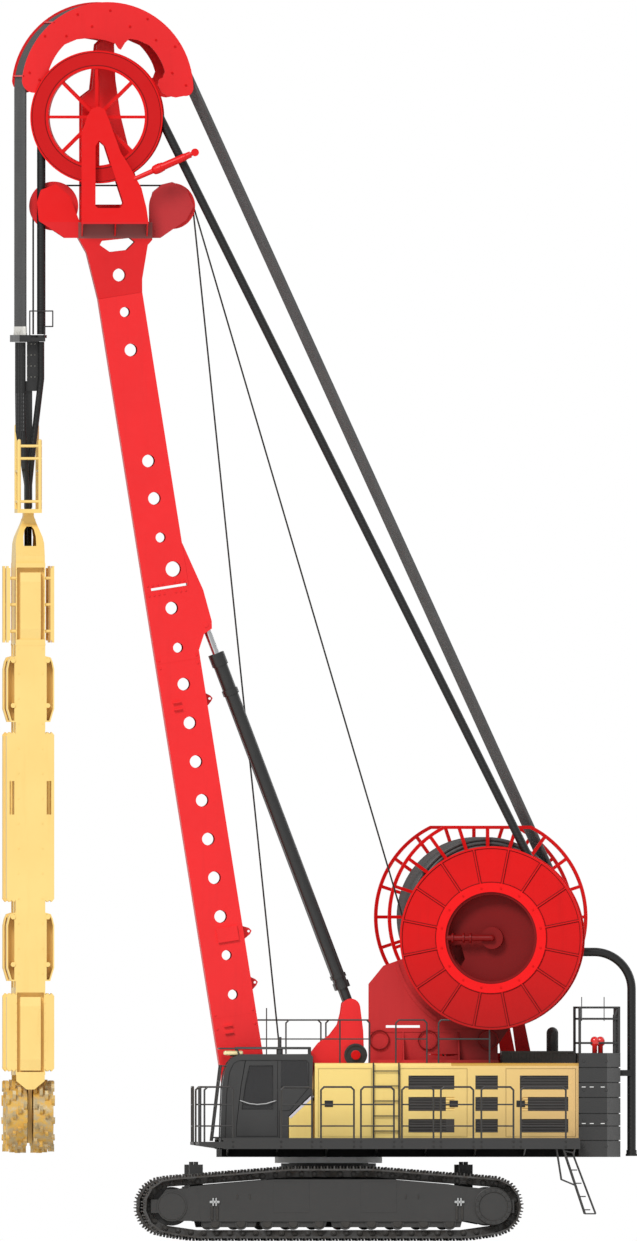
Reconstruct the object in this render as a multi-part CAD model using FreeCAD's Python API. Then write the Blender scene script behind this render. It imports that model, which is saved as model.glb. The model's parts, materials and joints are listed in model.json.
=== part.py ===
"""Trench cutter on crawler tracks: a leaning box mast carries a hydraulic trench cutter.

All sizes are in millimetres.  The origin is on the ground under the slewing centre.
+X points to the rear (counterweight), -X to the cutter, -Y to the cab side (left), +Z up.
"""
import FreeCAD
import Part
import math
import os

os.makedirs("parts", exist_ok=True)

V = FreeCAD.Vector
ALONG_X = V(1, 0, 0)
ALONG_Y = V(0, 1, 0)
ALONG_Z = V(0, 0, 1)
ORIGIN = V(0, 0, 0)

# ---------------------------------------------------------------- driving dimensions
# Undercarriage
TRACK_CENTRE_Y = 1950.0
SHOE_WIDTH = 900.0
SHOE_PITCH = 260.0
SHOE_PLATE = 34.0
GROUSER_HEIGHT = 56.0
CHAIN_WIDTH = 260.0
CHAIN_DEPTH = 130.0
END_WHEEL_X = 3216.0
END_WHEEL_Z = 694.0
END_WHEEL_R = 560.0
TOP_RUN_Z = 1444.0
TOP_RUN_HALF = 800.0
GROUND_RUN_HALF = 2700.0
TRACK_FRAME_HALF = 300.0
JACK_X = 2700.0
JACK_Y = 1300.0
SLEW_FACE_Z = 1560.0
SLEW_RING_R = 1073.0
SLEW_BORE_R = 800.0

# Upper structure
FRAME_BOTTOM_Z = 1680.0
FRAME_TOP_Z = 1840.0
DECK_Z = 2060.0
FRAME_FRONT_X = -2190.0
FRAME_REAR_X = 4950.0
HOUSE_FRONT_X = -330.0
HOUSE_TOP_Z = 3560.0
HOUSE_OUTER_Y = 1550.0
HOUSE_INNER_Y = 640.0
HOUSE_WALL = 45.0
HOUSE_EDGE_R = 70.0
DOOR_BOTTOM_Z = 2080.0
DOOR_TOP_Z = 3450.0
DOORS = {"front": (-262, 814), "middle": (1374, 2722), "rear": (3492, 4895)}
VENT_ROWS = [(3030, 3310), (2600, 2880), (2170, 2440)]
LADDER_X = (842.0, 1352.0)
WALKWAY_OUTER_Y = 2450.0
WALKWAY_TIP_X = -2680.0
HANDRAIL_TOP_Z = 3080.0
HANDRAIL_R = 19.0
CAB_OUTER_Y = -1550.0
CAB_INNER_Y = -600.0
CAB_WALL = 50.0
CAB_FLOOR_Z = 1960.0
CAB_ROOF_Z = 3675.0
CAB_DOOR = (-1900.0, -1070.0, 2090.0, 3620.0)
COUNTERWEIGHT_REAR_X = 5800.0
COUNTERWEIGHT_TOP_Z = 3760.0
COUNTERWEIGHT_HALF_Y = 1600.0
DISCHARGE_X = 6030.0
DISCHARGE_Y = -950.0
DISCHARGE_TOP_Z = 5780.0
DISCHARGE_END_Z = 1700.0
DISCHARGE_BEND_R = 750.0
DISCHARGE_R = 86.0
DISCHARGE_BORE_R = 70.0
COUPLING_BORE_R = 78.0
COUPLING_LENGTH = 120.0

# Winches on the centre line
WINCHES = {"front": V(-620, 0, 2750), "rear": V(2250, 0, 3000)}
WINCH_BARREL_R = 230.0
SIDE_WINCH = V(526, -505, 3720)

# Mast, in its own line: s runs from the foot pivot up the mast
MAST_LEAN = 9.0
MAST_FOOT = V(-1553, 0, 2320)
MAST_DEPTH = 890.0
MAST_HALF_WIDTH = 420.0
MAST_PLATE = 22.0
MAST_JOINT_S = 10830.0
MAST_TOP_S = 16790.0
MAST_HOLE_X = 40.0
MAST_HOLES = [(4217 + 784 * i, 126) for i in range(7)]
MAST_HOLES += [(10461, 126), (2635, 100), (3434, 100), (9659, 100)]
MAST_UPPER_HOLES = [(12682, 126), (13440, 126), (15687, 126), (11890, 100), (16455, 100)]
HEAD_DECK_Z = 20380.0

# Luffing cylinders
LUFF_BASE = V(430, 0, 4660)
LUFF_EYE = V(-2470, 0, 12320)
LUFF_HALF_SPACING = 300.0
LUFF_BARREL_R = 130.0
LUFF_BARREL_LENGTH = 7580.0
LUFF_ROD_R = 62.0

# Reels and the wheels that lead their hoses over the mast head
MUD_REEL_CENTRE = V(3230, -1350, 6060)
MUD_REEL_R = 1835.0
MUD_REEL_HALF = 230.0
MUD_REEL_YAW = -7.24
MUD_REEL_RIBS = 16
MUD_HOSE_R = 85.0
MUD_PACK_R = 1290.0
HYDRAULIC_REEL_CENTRE = V(3100, 1500, 6480)
HYDRAULIC_REEL_R = 2030.0
HYDRAULIC_REEL_FLAT = 1826.0
HYDRAULIC_REEL_YAW = 8.6
HYDRAULIC_REEL_WIDTH = 1540.0
HYDRAULIC_REEL_BARS = 20
HYDRAULIC_PACK_R = 1600.0
REEL_AXLE_R = 120.0
MUD_WHEEL_CENTRE = V(-4640, -350, 22480)
MUD_WHEEL_R = 1330.0
MUD_WHEEL_HOSE_R = 1125.0
GUIDE_CENTRE = V(-4510, 400, 23030)
GUIDE_HALF_WIDTH = 540.0
GUIDE_HOSE_R = 1670.0
GUIDE_R = 1750.0
FRONT_SHEAVE_CENTRE = V(-5500, 0, 20700)
FRONT_SHEAVE_R = 490.0
REAR_SHEAVE_CENTRE = V(-3130, 0, 20700)
REAR_SHEAVE_R = 460.0
SHEAVE_ROPE_R = 410.0
ROPE_R = 17.0
HOSE_R = 40.0
HOSE_COUNT = 10
HOSE_PITCH = 100.0
END_GAP = 12.0

# Cutter: its frame is hung upright in front of the tracks
CUTTER_X = -6010.0
CUTTER_HALF_X = 295.0
CUTTER_GUIDE_X = 475.0
CUTTER_HALF_Y = 1300.0
HOSE_END_Z = 18120.0
NECK_TOP_Z = 14560.0
HEAD_TOP_Z = 13560.0
HEAD_BOTTOM_Z = 11930.0
FOOT_TOP_Z = 5070.0
FOOT_BOTTOM_Z = 3320.0
CUTTER_WHEEL_Y = 742.0
CUTTER_WHEEL_Z = 2500.0
CUTTER_WHEEL_R = 735.0
CUTTER_DRUM_R = 600.0
CUTTER_HUB_R = 170.0

RUNNING_GAP = 8.0
PIN_GAP = 0.05


# ---------------------------------------------------------------- helpers
def block(x0, x1, y0, y1, z0, z1):
    return Part.makeBox(x1 - x0, y1 - y0, z1 - z0, V(x0, y0, z0))


def side_plate(outline, y0, y1):
    """A plate whose outline lies in the XZ plane."""
    corners = [V(x, y0, z) for x, z in outline]
    face = Part.Face(Part.makePolygon(corners + corners[:1]))
    return face.extrude(V(0, y1 - y0, 0))


def front_plate(outline, x0, x1):
    """A plate whose outline lies in the YZ plane."""
    corners = [V(x0, y, z) for y, z in outline]
    face = Part.Face(Part.makePolygon(corners + corners[:1]))
    return face.extrude(V(x1 - x0, 0, 0))


def plan_plate(outline, z0, z1):
    """A plate whose outline lies in the XY plane."""
    corners = [V(x, y, z0) for x, y in outline]
    face = Part.Face(Part.makePolygon(corners + corners[:1]))
    return face.extrude(V(0, 0, z1 - z0))


def drum(centre, axis, radius, length):
    """A cylinder centred on a point."""
    direction = V(axis).normalize()
    return Part.makeCylinder(radius, length, centre - direction * (length / 2), direction)


def ring(centre, axis, outer, inner, length):
    return drum(centre, axis, outer, length).cut(drum(centre, axis, inner, length + 20))


def rod(start, end, radius):
    return Part.makeCylinder(radius, (end - start).Length, start, end - start)


def rail(points, radius):
    """A bent tube: straight rods with a ball at each bend."""
    pieces = [rod(a, b, radius) for a, b in zip(points, points[1:])]
    pieces += [Part.makeSphere(radius, point) for point in points[1:-1]]
    return fused(pieces)


def fused(pieces):
    if len(pieces) == 1:
        return pieces[0]
    return pieces[0].multiFuse(pieces[1:]).removeSplitter()


def group(pieces):
    """Solids that do not touch, kept together as one node."""
    return Part.makeCompound(pieces)


def mirrored(shape):
    """The same piece on the other side of the machine."""
    return shape.mirror(ORIGIN, ALONG_Y)


def both_sides(piece):
    """A piece and its mirror image, as a list."""
    return [piece, mirrored(piece)]


def turned(shape, yaw, centre):
    """Place a piece made about the origin at a centre, turned about the upright axis."""
    placed = shape.copy()
    placed.rotate(ORIGIN, ALONG_Z, yaw)
    placed.translate(centre)
    return placed


def export(node, shape):
    shape.exportStep("parts/" + node + ".step")


def polar(radius, angle):
    """Point at an angle in degrees, measured from the first axis towards the second."""
    a = math.radians(angle)
    return radius * math.cos(a), radius * math.sin(a)


def arc_points(centre_a, centre_b, radius, first, last, steps):
    """Points on an arc, angles in degrees from the first axis towards the second."""
    points = []
    for i in range(steps + 1):
        a, b = polar(radius, first + (last - first) * i / steps)
        points.append((centre_a + a, centre_b + b))
    return points


def inset_outline(points, amount):
    """The same closed outline moved inwards by a wall thickness."""
    face = Part.Face(Part.makePolygon([V(x, 0, z) for x, z in points + points[:1]]))
    wire = face.makeOffset2D(-amount).OuterWire
    return [(v.Point.x, v.Point.z) for v in wire.OrderedVertexes]


def hollow_block(x0, x1, y0, y1, z0, z1, wall):
    inside = block(x0 + wall, x1 - wall, y0 + wall, y1 - wall, z0 + wall, z1 - wall)
    return block(x0, x1, y0, y1, z0, z1).cut(inside)


def hollow_plate(outline, y0, y1, wall):
    """A closed box girder whose outline lies in the XZ plane."""
    inside = side_plate(inset_outline(outline, wall), y0 + wall, y1 - wall)
    return side_plate(outline, y0, y1).cut(inside)


# ---------------------------------------------------------------- undercarriage
def belt_outline(inset):
    """The track's loop as a belt round its wheels, drawn inset from the shoe faces."""
    small = 260.0
    circles = [
        (END_WHEEL_X, END_WHEEL_Z, END_WHEEL_R),
        (TOP_RUN_HALF, TOP_RUN_Z - small, small),
        (-TOP_RUN_HALF, TOP_RUN_Z - small, small),
        (-END_WHEEL_X, END_WHEEL_Z, END_WHEEL_R),
        (-GROUND_RUN_HALF, GROUSER_HEIGHT + small, small),
        (GROUND_RUN_HALF, GROUSER_HEIGHT + small, small),
    ]
    points = []
    count = len(circles)
    for i in range(count):
        x, z, r = circles[i]
        before = circles[i - 1]
        after = circles[(i + 1) % count]
        first = tangent_angle(before, circles[i])
        last = tangent_angle(circles[i], after)
        while last < first - 1e-9:
            last += 2 * math.pi
        steps = max(2, int((last - first) / 0.06))
        for k in range(steps + 1):
            angle = first + (last - first) * k / steps
            points.append((x + (r - inset) * math.cos(angle), z + (r - inset) * math.sin(angle)))
    return points


def tangent_angle(a, b):
    """Direction of the outward normal of the outer tangent from circle a to circle b."""
    heading = math.atan2(b[1] - a[1], b[0] - a[0])
    reach = math.hypot(b[0] - a[0], b[1] - a[1])
    return heading - math.acos((a[2] - b[2]) / reach)


def along_loop(points):
    """Cumulative length round a closed loop."""
    lengths = [0.0]
    for i in range(len(points)):
        x0, z0 = points[i]
        x1, z1 = points[(i + 1) % len(points)]
        lengths.append(lengths[-1] + math.hypot(x1 - x0, z1 - z0))
    return lengths


def loop_point(points, lengths, s):
    """Point and outward normal at a length round the loop."""
    s = s % lengths[-1]
    i = max(k for k in range(len(points)) if lengths[k] <= s)
    x0, z0 = points[i]
    x1, z1 = points[(i + 1) % len(points)]
    span = max(lengths[i + 1] - lengths[i], 1e-9)
    t = (s - lengths[i]) / span
    along = ((x1 - x0) / span, (z1 - z0) / span)
    return x0 + (x1 - x0) * t, z0 + (z1 - z0) * t, along[1], -along[0]


def band(outer, inner, y0, y1):
    """A closed band between two outlines in the XZ plane."""
    return side_plate(outer, y0, y1).cut(side_plate(inner, y0 - 10, y1 + 10))


def track():
    loop = belt_outline(0.0)
    lengths = along_loop(loop)
    count = int(round(lengths[-1] / SHOE_PITCH))
    pitch = lengths[-1] / count
    outer = []
    inner = []
    profile = [(0.02, 0.0), (0.16, 0.0), (0.19, 1.0), (0.26, 1.0), (0.29, 0.0),
               (0.63, 0.0), (0.66, 1.0), (0.73, 1.0), (0.76, 0.0), (0.98, 0.0)]
    for shoe in range(count):
        x0, z0, _, _ = loop_point(loop, lengths, shoe * pitch)
        x1, z1, _, _ = loop_point(loop, lengths, (shoe + 1) * pitch)
        nx, nz = (z1 - z0) / pitch, -(x1 - x0) / pitch
        for share, lift in profile:
            height = lift * GROUSER_HEIGHT
            outer.append((x0 + (x1 - x0) * share + nx * height,
                          z0 + (z1 - z0) * share + nz * height))
        inner.append((x0 - nx * SHOE_PLATE, z0 - nz * SHOE_PLATE))
    half = SHOE_WIDTH / 2
    shoes = band(outer, inner, -half, half)
    overlap = 6.0
    chain_outer = belt_outline(SHOE_PLATE - overlap)[::2]
    chain_inner = belt_outline(SHOE_PLATE + CHAIN_DEPTH)[::2]
    chain = band(chain_outer, chain_inner, -CHAIN_WIDTH / 2, CHAIN_WIDTH / 2)
    return fused([shoes, chain])



def track_frame():
    """Side frame with its end wheels and rollers, drawn about Y = 0."""
    half = TRACK_FRAME_HALF
    outline = [(-3000, 640), (-2850, 1090), (-2300, 1140), (-1200, 1232), (1200, 1232),
               (2300, 1140), (2750, 1070), (2950, 700), (2650, 390), (-2650, 390)]
    hollow = [(-2700, 660), (-2600, 1030), (-1200, 1200), (1200, 1200), (2550, 1030),
              (2650, 700), (2450, 520), (-2450, 520)]
    pieces = [side_plate(outline, -half, half)]
    wheel_r = END_WHEEL_R - SHOE_PLATE - CHAIN_DEPTH - RUNNING_GAP
    for x in (-END_WHEEL_X, END_WHEEL_X):
        centre = V(x, 0, END_WHEEL_Z)
        pieces.append(drum(centre, ALONG_Y, wheel_r, 200))
        pieces.append(drum(centre, ALONG_Y, 300, 2 * half + 60))
        pieces += both_sides(block(x - 420, x + 420, -half, -150, 560, 830))
    roller_r = 130.0
    roller_z = GROUSER_HEIGHT + SHOE_PLATE + CHAIN_DEPTH + roller_r + 4
    for i in range(10):
        pieces.append(drum(V(-2350 + i * 522, 0, roller_z), ALONG_Y, roller_r, 2 * half - 60))
    return fused(pieces).cut(side_plate(hollow, -half + 40, half - 40))


def carbody():
    """Cross frame between the tracks, its corner jacks and the fixed slewing ring."""
    pieces = [block(-1300, 1300, -1640, 1640, 560, 1250)]
    for side in (-1, 1):
        beam_x = side * 1750
        pieces.append(block(beam_x - 330, beam_x + 330, -1650, 1650, 560, 1130))
        pieces.append(block(min(0, beam_x), max(0, beam_x), -700, 700, 620, 1150))
        for hand in (-1, 1):
            x = side * JACK_X
            y = hand * JACK_Y
            pieces.append(plan_plate([(side * 1250, hand * 300), (side * 1250, hand * 1100),
                                      (side * 2750, hand * 1420), (side * 2750, hand * 1180)],
                                     900, 1120))
            pieces.append(block(x - 135, x + 135, y - 130, y + 130, 860, 1530))
            pieces.append(drum(V(x, y, 1555), ALONG_Z, 45, 60))
    ring_bottom = 1480.0
    pieces.append(Part.makeCone(1300, 950, 180, V(0, 0, 1240)))
    pieces.append(Part.makeCylinder(950, SLEW_FACE_Z - 5 - 1400, V(0, 0, 1400)))
    pieces.append(Part.makeCylinder(SLEW_BORE_R - 5, 160, V(0, 0, ring_bottom)))
    body = fused(pieces).cut(drum(V(0, 0, 1500), ALONG_Z, 520, 400))
    body = body.cut(block(-1250, 1250, -1590, 1590, 610, 1180))
    for beam_x in (-1750, 1750):
        body = body.cut(block(beam_x - 280, beam_x + 280, -1610, 1610, 610, 1080))
    return body


left_track = track()
left_track.translate(V(0, -TRACK_CENTRE_Y, 0))
export("track_left", left_track)
export("track_right", mirrored(left_track))
left_frame = track_frame()
left_frame.translate(V(0, -TRACK_CENTRE_Y, 0))
export("track_frame_left", left_frame)
export("track_frame_right", mirrored(left_frame))
export("carbody", carbody())


# ---------------------------------------------------------------- slewing upper structure
def slew_ring():
    height = FRAME_BOTTOM_Z - SLEW_FACE_Z
    return ring(V(0, 0, SLEW_FACE_Z + height / 2), ALONG_Z, SLEW_RING_R, SLEW_BORE_R, height)


def main_frame():
    pieces = [block(FRAME_FRONT_X, FRAME_REAR_X, -1500, 1500, FRAME_BOTTOM_Z, FRAME_TOP_Z)]
    ear = [(-1900, 1840), (-1150, 1840), (-1300, 2420), (-1440, 2520), (-1660, 2520),
           (-1800, 2420)]
    pieces += both_sides(block(-2150, FRAME_REAR_X, -580, -480, FRAME_TOP_Z, 2150))
    pieces += both_sides(side_plate(ear, -580, -480))
    pieces.append(drum(MAST_FOOT, ALONG_Y, 90, 1160))
    return fused(pieces).cut(drum(V(0, 0, FRAME_TOP_Z), ALONG_Z, 420, 800))


def luff_brackets():
    """Tall plates that hold the foot pins of the luffing cylinders."""
    outline = [(-200, FRAME_TOP_Z), (-200, 3200), (-440, 3480), (-440, 3560), (-380, 3730),
               (-200, 3960), (20, 4120), (180, 4330), (240, 4560)]
    outline += arc_points(LUFF_BASE.x, LUFF_BASE.z, 190, 150, 10, 8)
    outline += [(680, 4200), (700, 3560), (700, FRAME_TOP_Z)]
    pieces = []
    for side in (-1, 1):
        y = side * LUFF_HALF_SPACING
        for offset in (-170, 140):
            pieces.append(side_plate(outline, y + offset, y + offset + 30))
        pieces.append(drum(V(LUFF_BASE.x, y, LUFF_BASE.z), ALONG_Y, 60, 340))
    pieces.append(block(-440, 700, -470, 470, 3500, 3560))
    pieces.append(block(660, 700, -470, 470, FRAME_TOP_Z, 3560))
    return fused(pieces)


def house_section(wall):
    """Cross-section of a left house with a rounded outer roof edge, inset by a wall."""
    outer = -HOUSE_OUTER_Y + wall
    inner = -HOUSE_INNER_Y - wall
    top = HOUSE_TOP_Z - wall
    r = HOUSE_EDGE_R
    corner = arc_points(outer + r, top - r, r, 180, 90, 5)
    return [(outer, FRAME_TOP_Z + wall)] + corner + [(inner, top), (inner, FRAME_TOP_Z + wall)]


def louvre(x0, x1, z0, z1):
    """Recess of one louvre in the left house wall and the slats that stand in it."""
    y = -HOUSE_OUTER_Y
    chamfer = 70.0
    recess = side_plate([(x0, z0), (x1, z0), (x1, z1), (x0 + chamfer, z1), (x0, z1 - chamfer)],
                        y - 5, y + 26)
    slats = []
    count = 5
    for i in range(count):
        z = z0 + (i + 0.5) * (z1 - z0) / count
        left = x0 + max(0.0, z + 22 - (z1 - chamfer))
        slats.append(front_plate([(y + 3, z - 22), (y + 3, z - 14), (y + 28, z + 22),
                                  (y + 28, z + 14)], left, x1))
    return recess, slats


def with_louvres(panel, columns):
    """Add a column of louvres to a panel for each (x0, x1, x1 of the lowest row)."""
    for x0, x1, low_x1 in columns:
        for row, (z0, z1) in enumerate(VENT_ROWS):
            recess, slats = louvre(x0, low_x1 if row == 2 else x1, z0, z1)
            panel = fused([panel.cut(recess)] + slats)
    return panel


LOUVRES = {"middle": [(1544, 2464, 2294)], "fixed": [(2884, 3334, 3334)],
           "rear": [(3774, 4744, 4744)]}


def left_house():
    """Left engine house: hollow, with door openings and the skirt panel behind the cab."""
    w = HOUSE_WALL
    x0, x1 = HOUSE_FRONT_X, FRAME_REAR_X
    body = front_plate(house_section(0.0), x0, x1)
    body = body.cut(front_plate(house_section(w), x0 + w, x1 - w))
    outer = -HOUSE_OUTER_Y
    for door_x0, door_x1 in DOORS.values():
        body = body.cut(block(door_x0, door_x1, outer - 10, outer + w + 10, DOOR_BOTTOM_Z,
                              DOOR_TOP_Z))
    skirt = hollow_plate([(-846, FRAME_TOP_Z), (-846, 2484), (-386, 2922), (-386, FRAME_TOP_Z)],
                         outer, -HOUSE_INNER_Y, 40)
    web = block(-400, x0 + 10, -1300, -700, FRAME_TOP_Z, 2800)
    return with_louvres(fused([body, skirt, web]), LOUVRES["fixed"])


def right_house():
    """Right engine house, which reaches forward to the front of the frame."""
    w = HOUSE_WALL
    x0, x1 = FRAME_FRONT_X + 20, FRAME_REAR_X
    body = front_plate(house_section(0.0), x0, x1)
    body = body.cut(front_plate(house_section(w), x0 + w, x1 - w))
    for door_x0, door_x1 in list(DOORS.values()) + [(-2060, -420)]:
        frame = block(door_x0, door_x1, -HOUSE_OUTER_Y - 10, -HOUSE_OUTER_Y + 12, DOOR_BOTTOM_Z,
                      DOOR_TOP_Z)
        leaf = block(door_x0 + 10, door_x1 - 10, -HOUSE_OUTER_Y - 20, -HOUSE_OUTER_Y + 20,
                     DOOR_BOTTOM_Z + 10, DOOR_TOP_Z - 10)
        body = body.cut(frame.cut(leaf))
    columns = LOUVRES["middle"] + LOUVRES["fixed"] + LOUVRES["rear"]
    return mirrored(with_louvres(body, columns))


def house_door(name):
    """A flat door of the left house with the louvres pressed into it."""
    x0, x1 = DOORS[name]
    gap = RUNNING_GAP
    leaf = block(x0 + gap, x1 - gap, -HOUSE_OUTER_Y, -HOUSE_OUTER_Y + HOUSE_WALL - 5,
                 DOOR_BOTTOM_Z + gap, DOOR_TOP_Z - gap)
    return with_louvres(leaf, LOUVRES.get(name, []))


def cab_side_outline():
    return [(-2190, 1900), (-2050, 2600), (-1835, 3680), (-1790, 3735), (-420, 3740),
            (-365, 3690), (-380, 2960), (-860, 2500), (-860, 1900)]


def cab_window_cutters():
    """Solids that cut the rear side, right side, rear, roof and front windows."""
    return [
        side_plate([(-1010, 3050), (-1010, 3600), (-480, 3600), (-450, 3050)],
                   CAB_OUTER_Y - 60, CAB_OUTER_Y + 60),
        block(-1700, -520, CAB_INNER_Y - 60, CAB_INNER_Y + 60, 2700, 3600),
        block(-450, -300, CAB_OUTER_Y + 120, CAB_INNER_Y - 120, 3080, 3580),
        block(-1650, -900, CAB_OUTER_Y + 180, CAB_INNER_Y - 180, 3680, 3800),
        side_plate([(-2240, 2100), (-1900, 3620), (-1780, 3620), (-2080, 2100)],
                   CAB_OUTER_Y + 90, CAB_INNER_Y - 90),
    ]


def cab_body(inset):
    """The cab's outer form, moved inwards by an inset."""
    outline = inset_outline(cab_side_outline(), inset) if inset else cab_side_outline()
    return side_plate(outline, CAB_OUTER_Y + inset, CAB_INNER_Y - inset)


def cab_trim():
    """Roof guard, front guard, lamp, camera and roof aerial of the cab."""
    guard_z = 3865.0
    pieces = []
    for y in (CAB_OUTER_Y + 40, CAB_INNER_Y - 40):
        pieces.append(rail([V(-1835, y, 3690), V(-1890, y, guard_z), V(-420, y, guard_z),
                            V(-420, y, 3720)], 18))
        top = V(-2205, y, 3520)
        foot = V(-2385, y, 2000)
        pieces.append(rod(top, foot, 20))
        pieces.append(rod(top + V(0, 0, -20), V(-1850, y, 3500), 14))
        pieces.append(rod(foot + V(8, 0, 70), V(-2140, y, 2070), 14))
    for z, x in ((3200, -2243), (2700, -2302), (2200, -2361)):
        pieces.append(rod(V(x, CAB_OUTER_Y + 40, z), V(x, CAB_INNER_Y - 40, z), 12))
    for x in (-1890, -1150, -420):
        pieces.append(rod(V(x, CAB_OUTER_Y + 40, guard_z), V(x, CAB_INNER_Y - 40, guard_z), 14))
    camera = V(-1030, CAB_OUTER_Y + 110, 3800)
    pieces.append(drum(camera, ALONG_Z, 65, 140))
    pieces.append(drum(camera + V(0, 0, 170), ALONG_Z, 38, 220))
    pieces.append(rod(V(-1265, -700, 3700), V(-1265, -700, 4660), 12))
    return pieces


def cab_shell():
    """All the walls of the hollow cab, with the openings for its door and windows."""
    shell = cab_body(0.0).cut(cab_body(CAB_WALL))
    x0, x1, z0, z1 = CAB_DOOR
    shell = shell.cut(block(x0, x1, CAB_OUTER_Y - 10, CAB_OUTER_Y + CAB_WALL + 5, z0, z1))
    for cutter in cab_window_cutters():
        shell = shell.cut(cutter)
    return shell


def cab_inner_span(z0, z1):
    """The space between the cab's two side walls, from one height to another."""
    return block(-2400, 0, CAB_OUTER_Y + CAB_WALL, CAB_INNER_Y - CAB_WALL, z0, z1)


def cab_side_walls():
    return cab_shell().cut(cab_inner_span(1800, 3800))


def cab_end_walls():
    """Front and rear walls of the cab, between its floor and its roof."""
    return cab_shell().common(cab_inner_span(CAB_FLOOR_Z, CAB_ROOF_Z))


def cab_floor():
    """Floor and roof of the cab between its side walls, with the feet under the floor."""
    shell = cab_shell().common(cab_inner_span(1800, 3800))
    pieces = [shell.cut(cab_inner_span(CAB_FLOOR_Z, CAB_ROOF_Z))]
    for x in (-2100, -1000):
        for y in (CAB_OUTER_Y + 60, CAB_INNER_Y - 160):
            pieces.append(block(x, x + 120, y, y + 100, FRAME_TOP_Z, 1910))
    return fused(pieces)


def cab_guards():
    return fused(cab_trim()).cut(cab_body(0.0))


def cab_glass():
    """Panes that fill the window cuts."""
    skin = cab_body(0.0).cut(cab_body(12.0))
    panes = []
    for cutter in cab_window_cutters():
        panes += skin.common(cutter).Solids
    return group(panes)


def cab_door():
    """Cab door with its window cut out and a curved grab bar."""
    x0, x1, z0, z1 = CAB_DOOR
    gap = RUNNING_GAP
    y = CAB_OUTER_Y
    outline = [(x0 + gap, z0 + gap), (x0 + gap, 2300), (x0 + 100, 3100), (x0 + 190, z1 - gap),
               (x1 - gap, z1 - gap), (x1 - gap, z0 + gap)]
    panel = side_plate(outline, y, y + CAB_WALL - 6)
    window = side_plate([(x0 + 110, 2640), (x0 + 180, 3120), (x0 + 260, z1 - 110),
                         (x1 - 100, z1 - 110), (x1 - 100, 2640)], y - 10, y + CAB_WALL)
    bar = [V(-1830, y + 10, 2812), V(-1800, y - 45, 2800), V(-1640, y - 45, 2748),
           V(-1480, y - 45, 2730), V(-1300, y - 45, 2748), V(-1130, y - 45, 2800),
           V(-1100, y + 10, 2812)]
    return fused([panel.cut(window), rail(bar, 11)])


def operator_seat():
    """Operator's chair with its pedestal and side consoles."""
    return fused([block(-1430, -960, -1310, -850, 2330, 2450),
                  block(-1080, -960, -1310, -850, 2440, 3050),
                  block(-1330, -1080, -1200, -960, 1950, 2340),
                  block(-1560, -1060, -1440, -1330, 2380, 2520),
                  block(-1560, -1060, -830, -720, 2380, 2520),
                  block(-1560, -1060, -1440, -720, 2300, 2390)])


def handrail(x0, x1, y, foot_z, top_z, mid_levels, radius):
    """Railing frame along X with cut corners and thinner middle rails."""
    corner = 60
    frame = rail([V(x0, y, foot_z), V(x0, y, top_z - corner), V(x0 + corner, y, top_z),
                  V(x1 - corner, y, top_z), V(x1, y, top_z - corner), V(x1, y, foot_z)], radius)
    return [frame] + [rod(V(x0, y, z), V(x1, y, z), radius - 4) for z in mid_levels]


def walkway():
    """Left walkway deck with the arms that carry it and the lower step at its front."""
    inner = -HOUSE_OUTER_Y - 12
    outer = -WALKWAY_OUTER_Y
    plate = block(FRAME_FRONT_X, FRAME_REAR_X, outer, inner, DECK_Z - 40, DECK_Z)
    fascia = block(FRAME_FRONT_X, FRAME_REAR_X, outer, outer + 40, FRAME_TOP_Z, DECK_Z - 30)
    tip = [(WALKWAY_TIP_X, 1925), (WALKWAY_TIP_X, 1985), (FRAME_FRONT_X + 10, 1985),
           (FRAME_FRONT_X + 10, 1850)]
    front = [(WALKWAY_TIP_X, 1925), (WALKWAY_TIP_X, 1985), (FRAME_FRONT_X - 15, 1985),
             (FRAME_FRONT_X - 15, 1854)]
    pieces = [plate, fascia, side_plate(tip, outer, inner), side_plate(front, inner - 10, -620)]
    arm = [(outer + 20, 1850), (outer + 20, DECK_Z - 20), (inner, DECK_Z - 20), (inner, 1834),
           (-1500, 1834), (-1500, 1700)]
    for i in range(8):
        x = -2100 + i * 990
        pieces.append(front_plate(arm, x, x + 30))
    return fused(pieces)


def walkway_rails():
    """Handrail frames that stand on the left walkway's outer edge and round its front step."""
    rail_y = -WALKWAY_OUTER_Y + 20
    frames = []
    for x0, x1 in ((-2570, -1998), (-1038, -418), (-238, 422), (562, 1222), (1382, 2014),
                   (2162, 2812), (2972, 3614), (3762, 4662)):
        frames.append(fused(handrail(x0, x1, rail_y, 1950, HANDRAIL_TOP_Z, (2300, 2730),
                                     HANDRAIL_R)))
    x = WALKWAY_TIP_X + 30
    front = [rail([V(x, rail_y, 1960), V(x, rail_y, HANDRAIL_TOP_Z), V(x, -1650, HANDRAIL_TOP_Z),
                   V(x, -1650, 1960)], 20)]
    front += [rod(V(x, rail_y, z), V(x, -1650, z), 15) for z in (2300, 2730)]
    deck = walkway()
    return group([frame.cut(deck) for frame in frames + [fused(front)]])


def counterweight():
    """Cast rear block with shallow grooves between its courses."""
    half = COUNTERWEIGHT_HALF_Y
    chamfer = 260.0
    x0 = FRAME_REAR_X
    x1 = COUNTERWEIGHT_REAR_X
    outline = [(x0, -half), (x1 - chamfer, -half), (x1, -half + 420), (x1, half - 420),
               (x1 - chamfer, half), (x0, half)]
    body = plan_plate(outline, FRAME_BOTTOM_Z, COUNTERWEIGHT_TOP_Z)
    core = [(x + (30 if x == x0 else -30), y * 0.985) for x, y in outline]
    for z in (2000, 2290, 2540, 2860, 3160, 3460):
        course = block(x0 - 10, x1 + 10, -half - 10, half + 10, z, z + 20)
        body = body.cut(course.cut(plan_plate(core, z, z + 20)))
    return body


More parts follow.
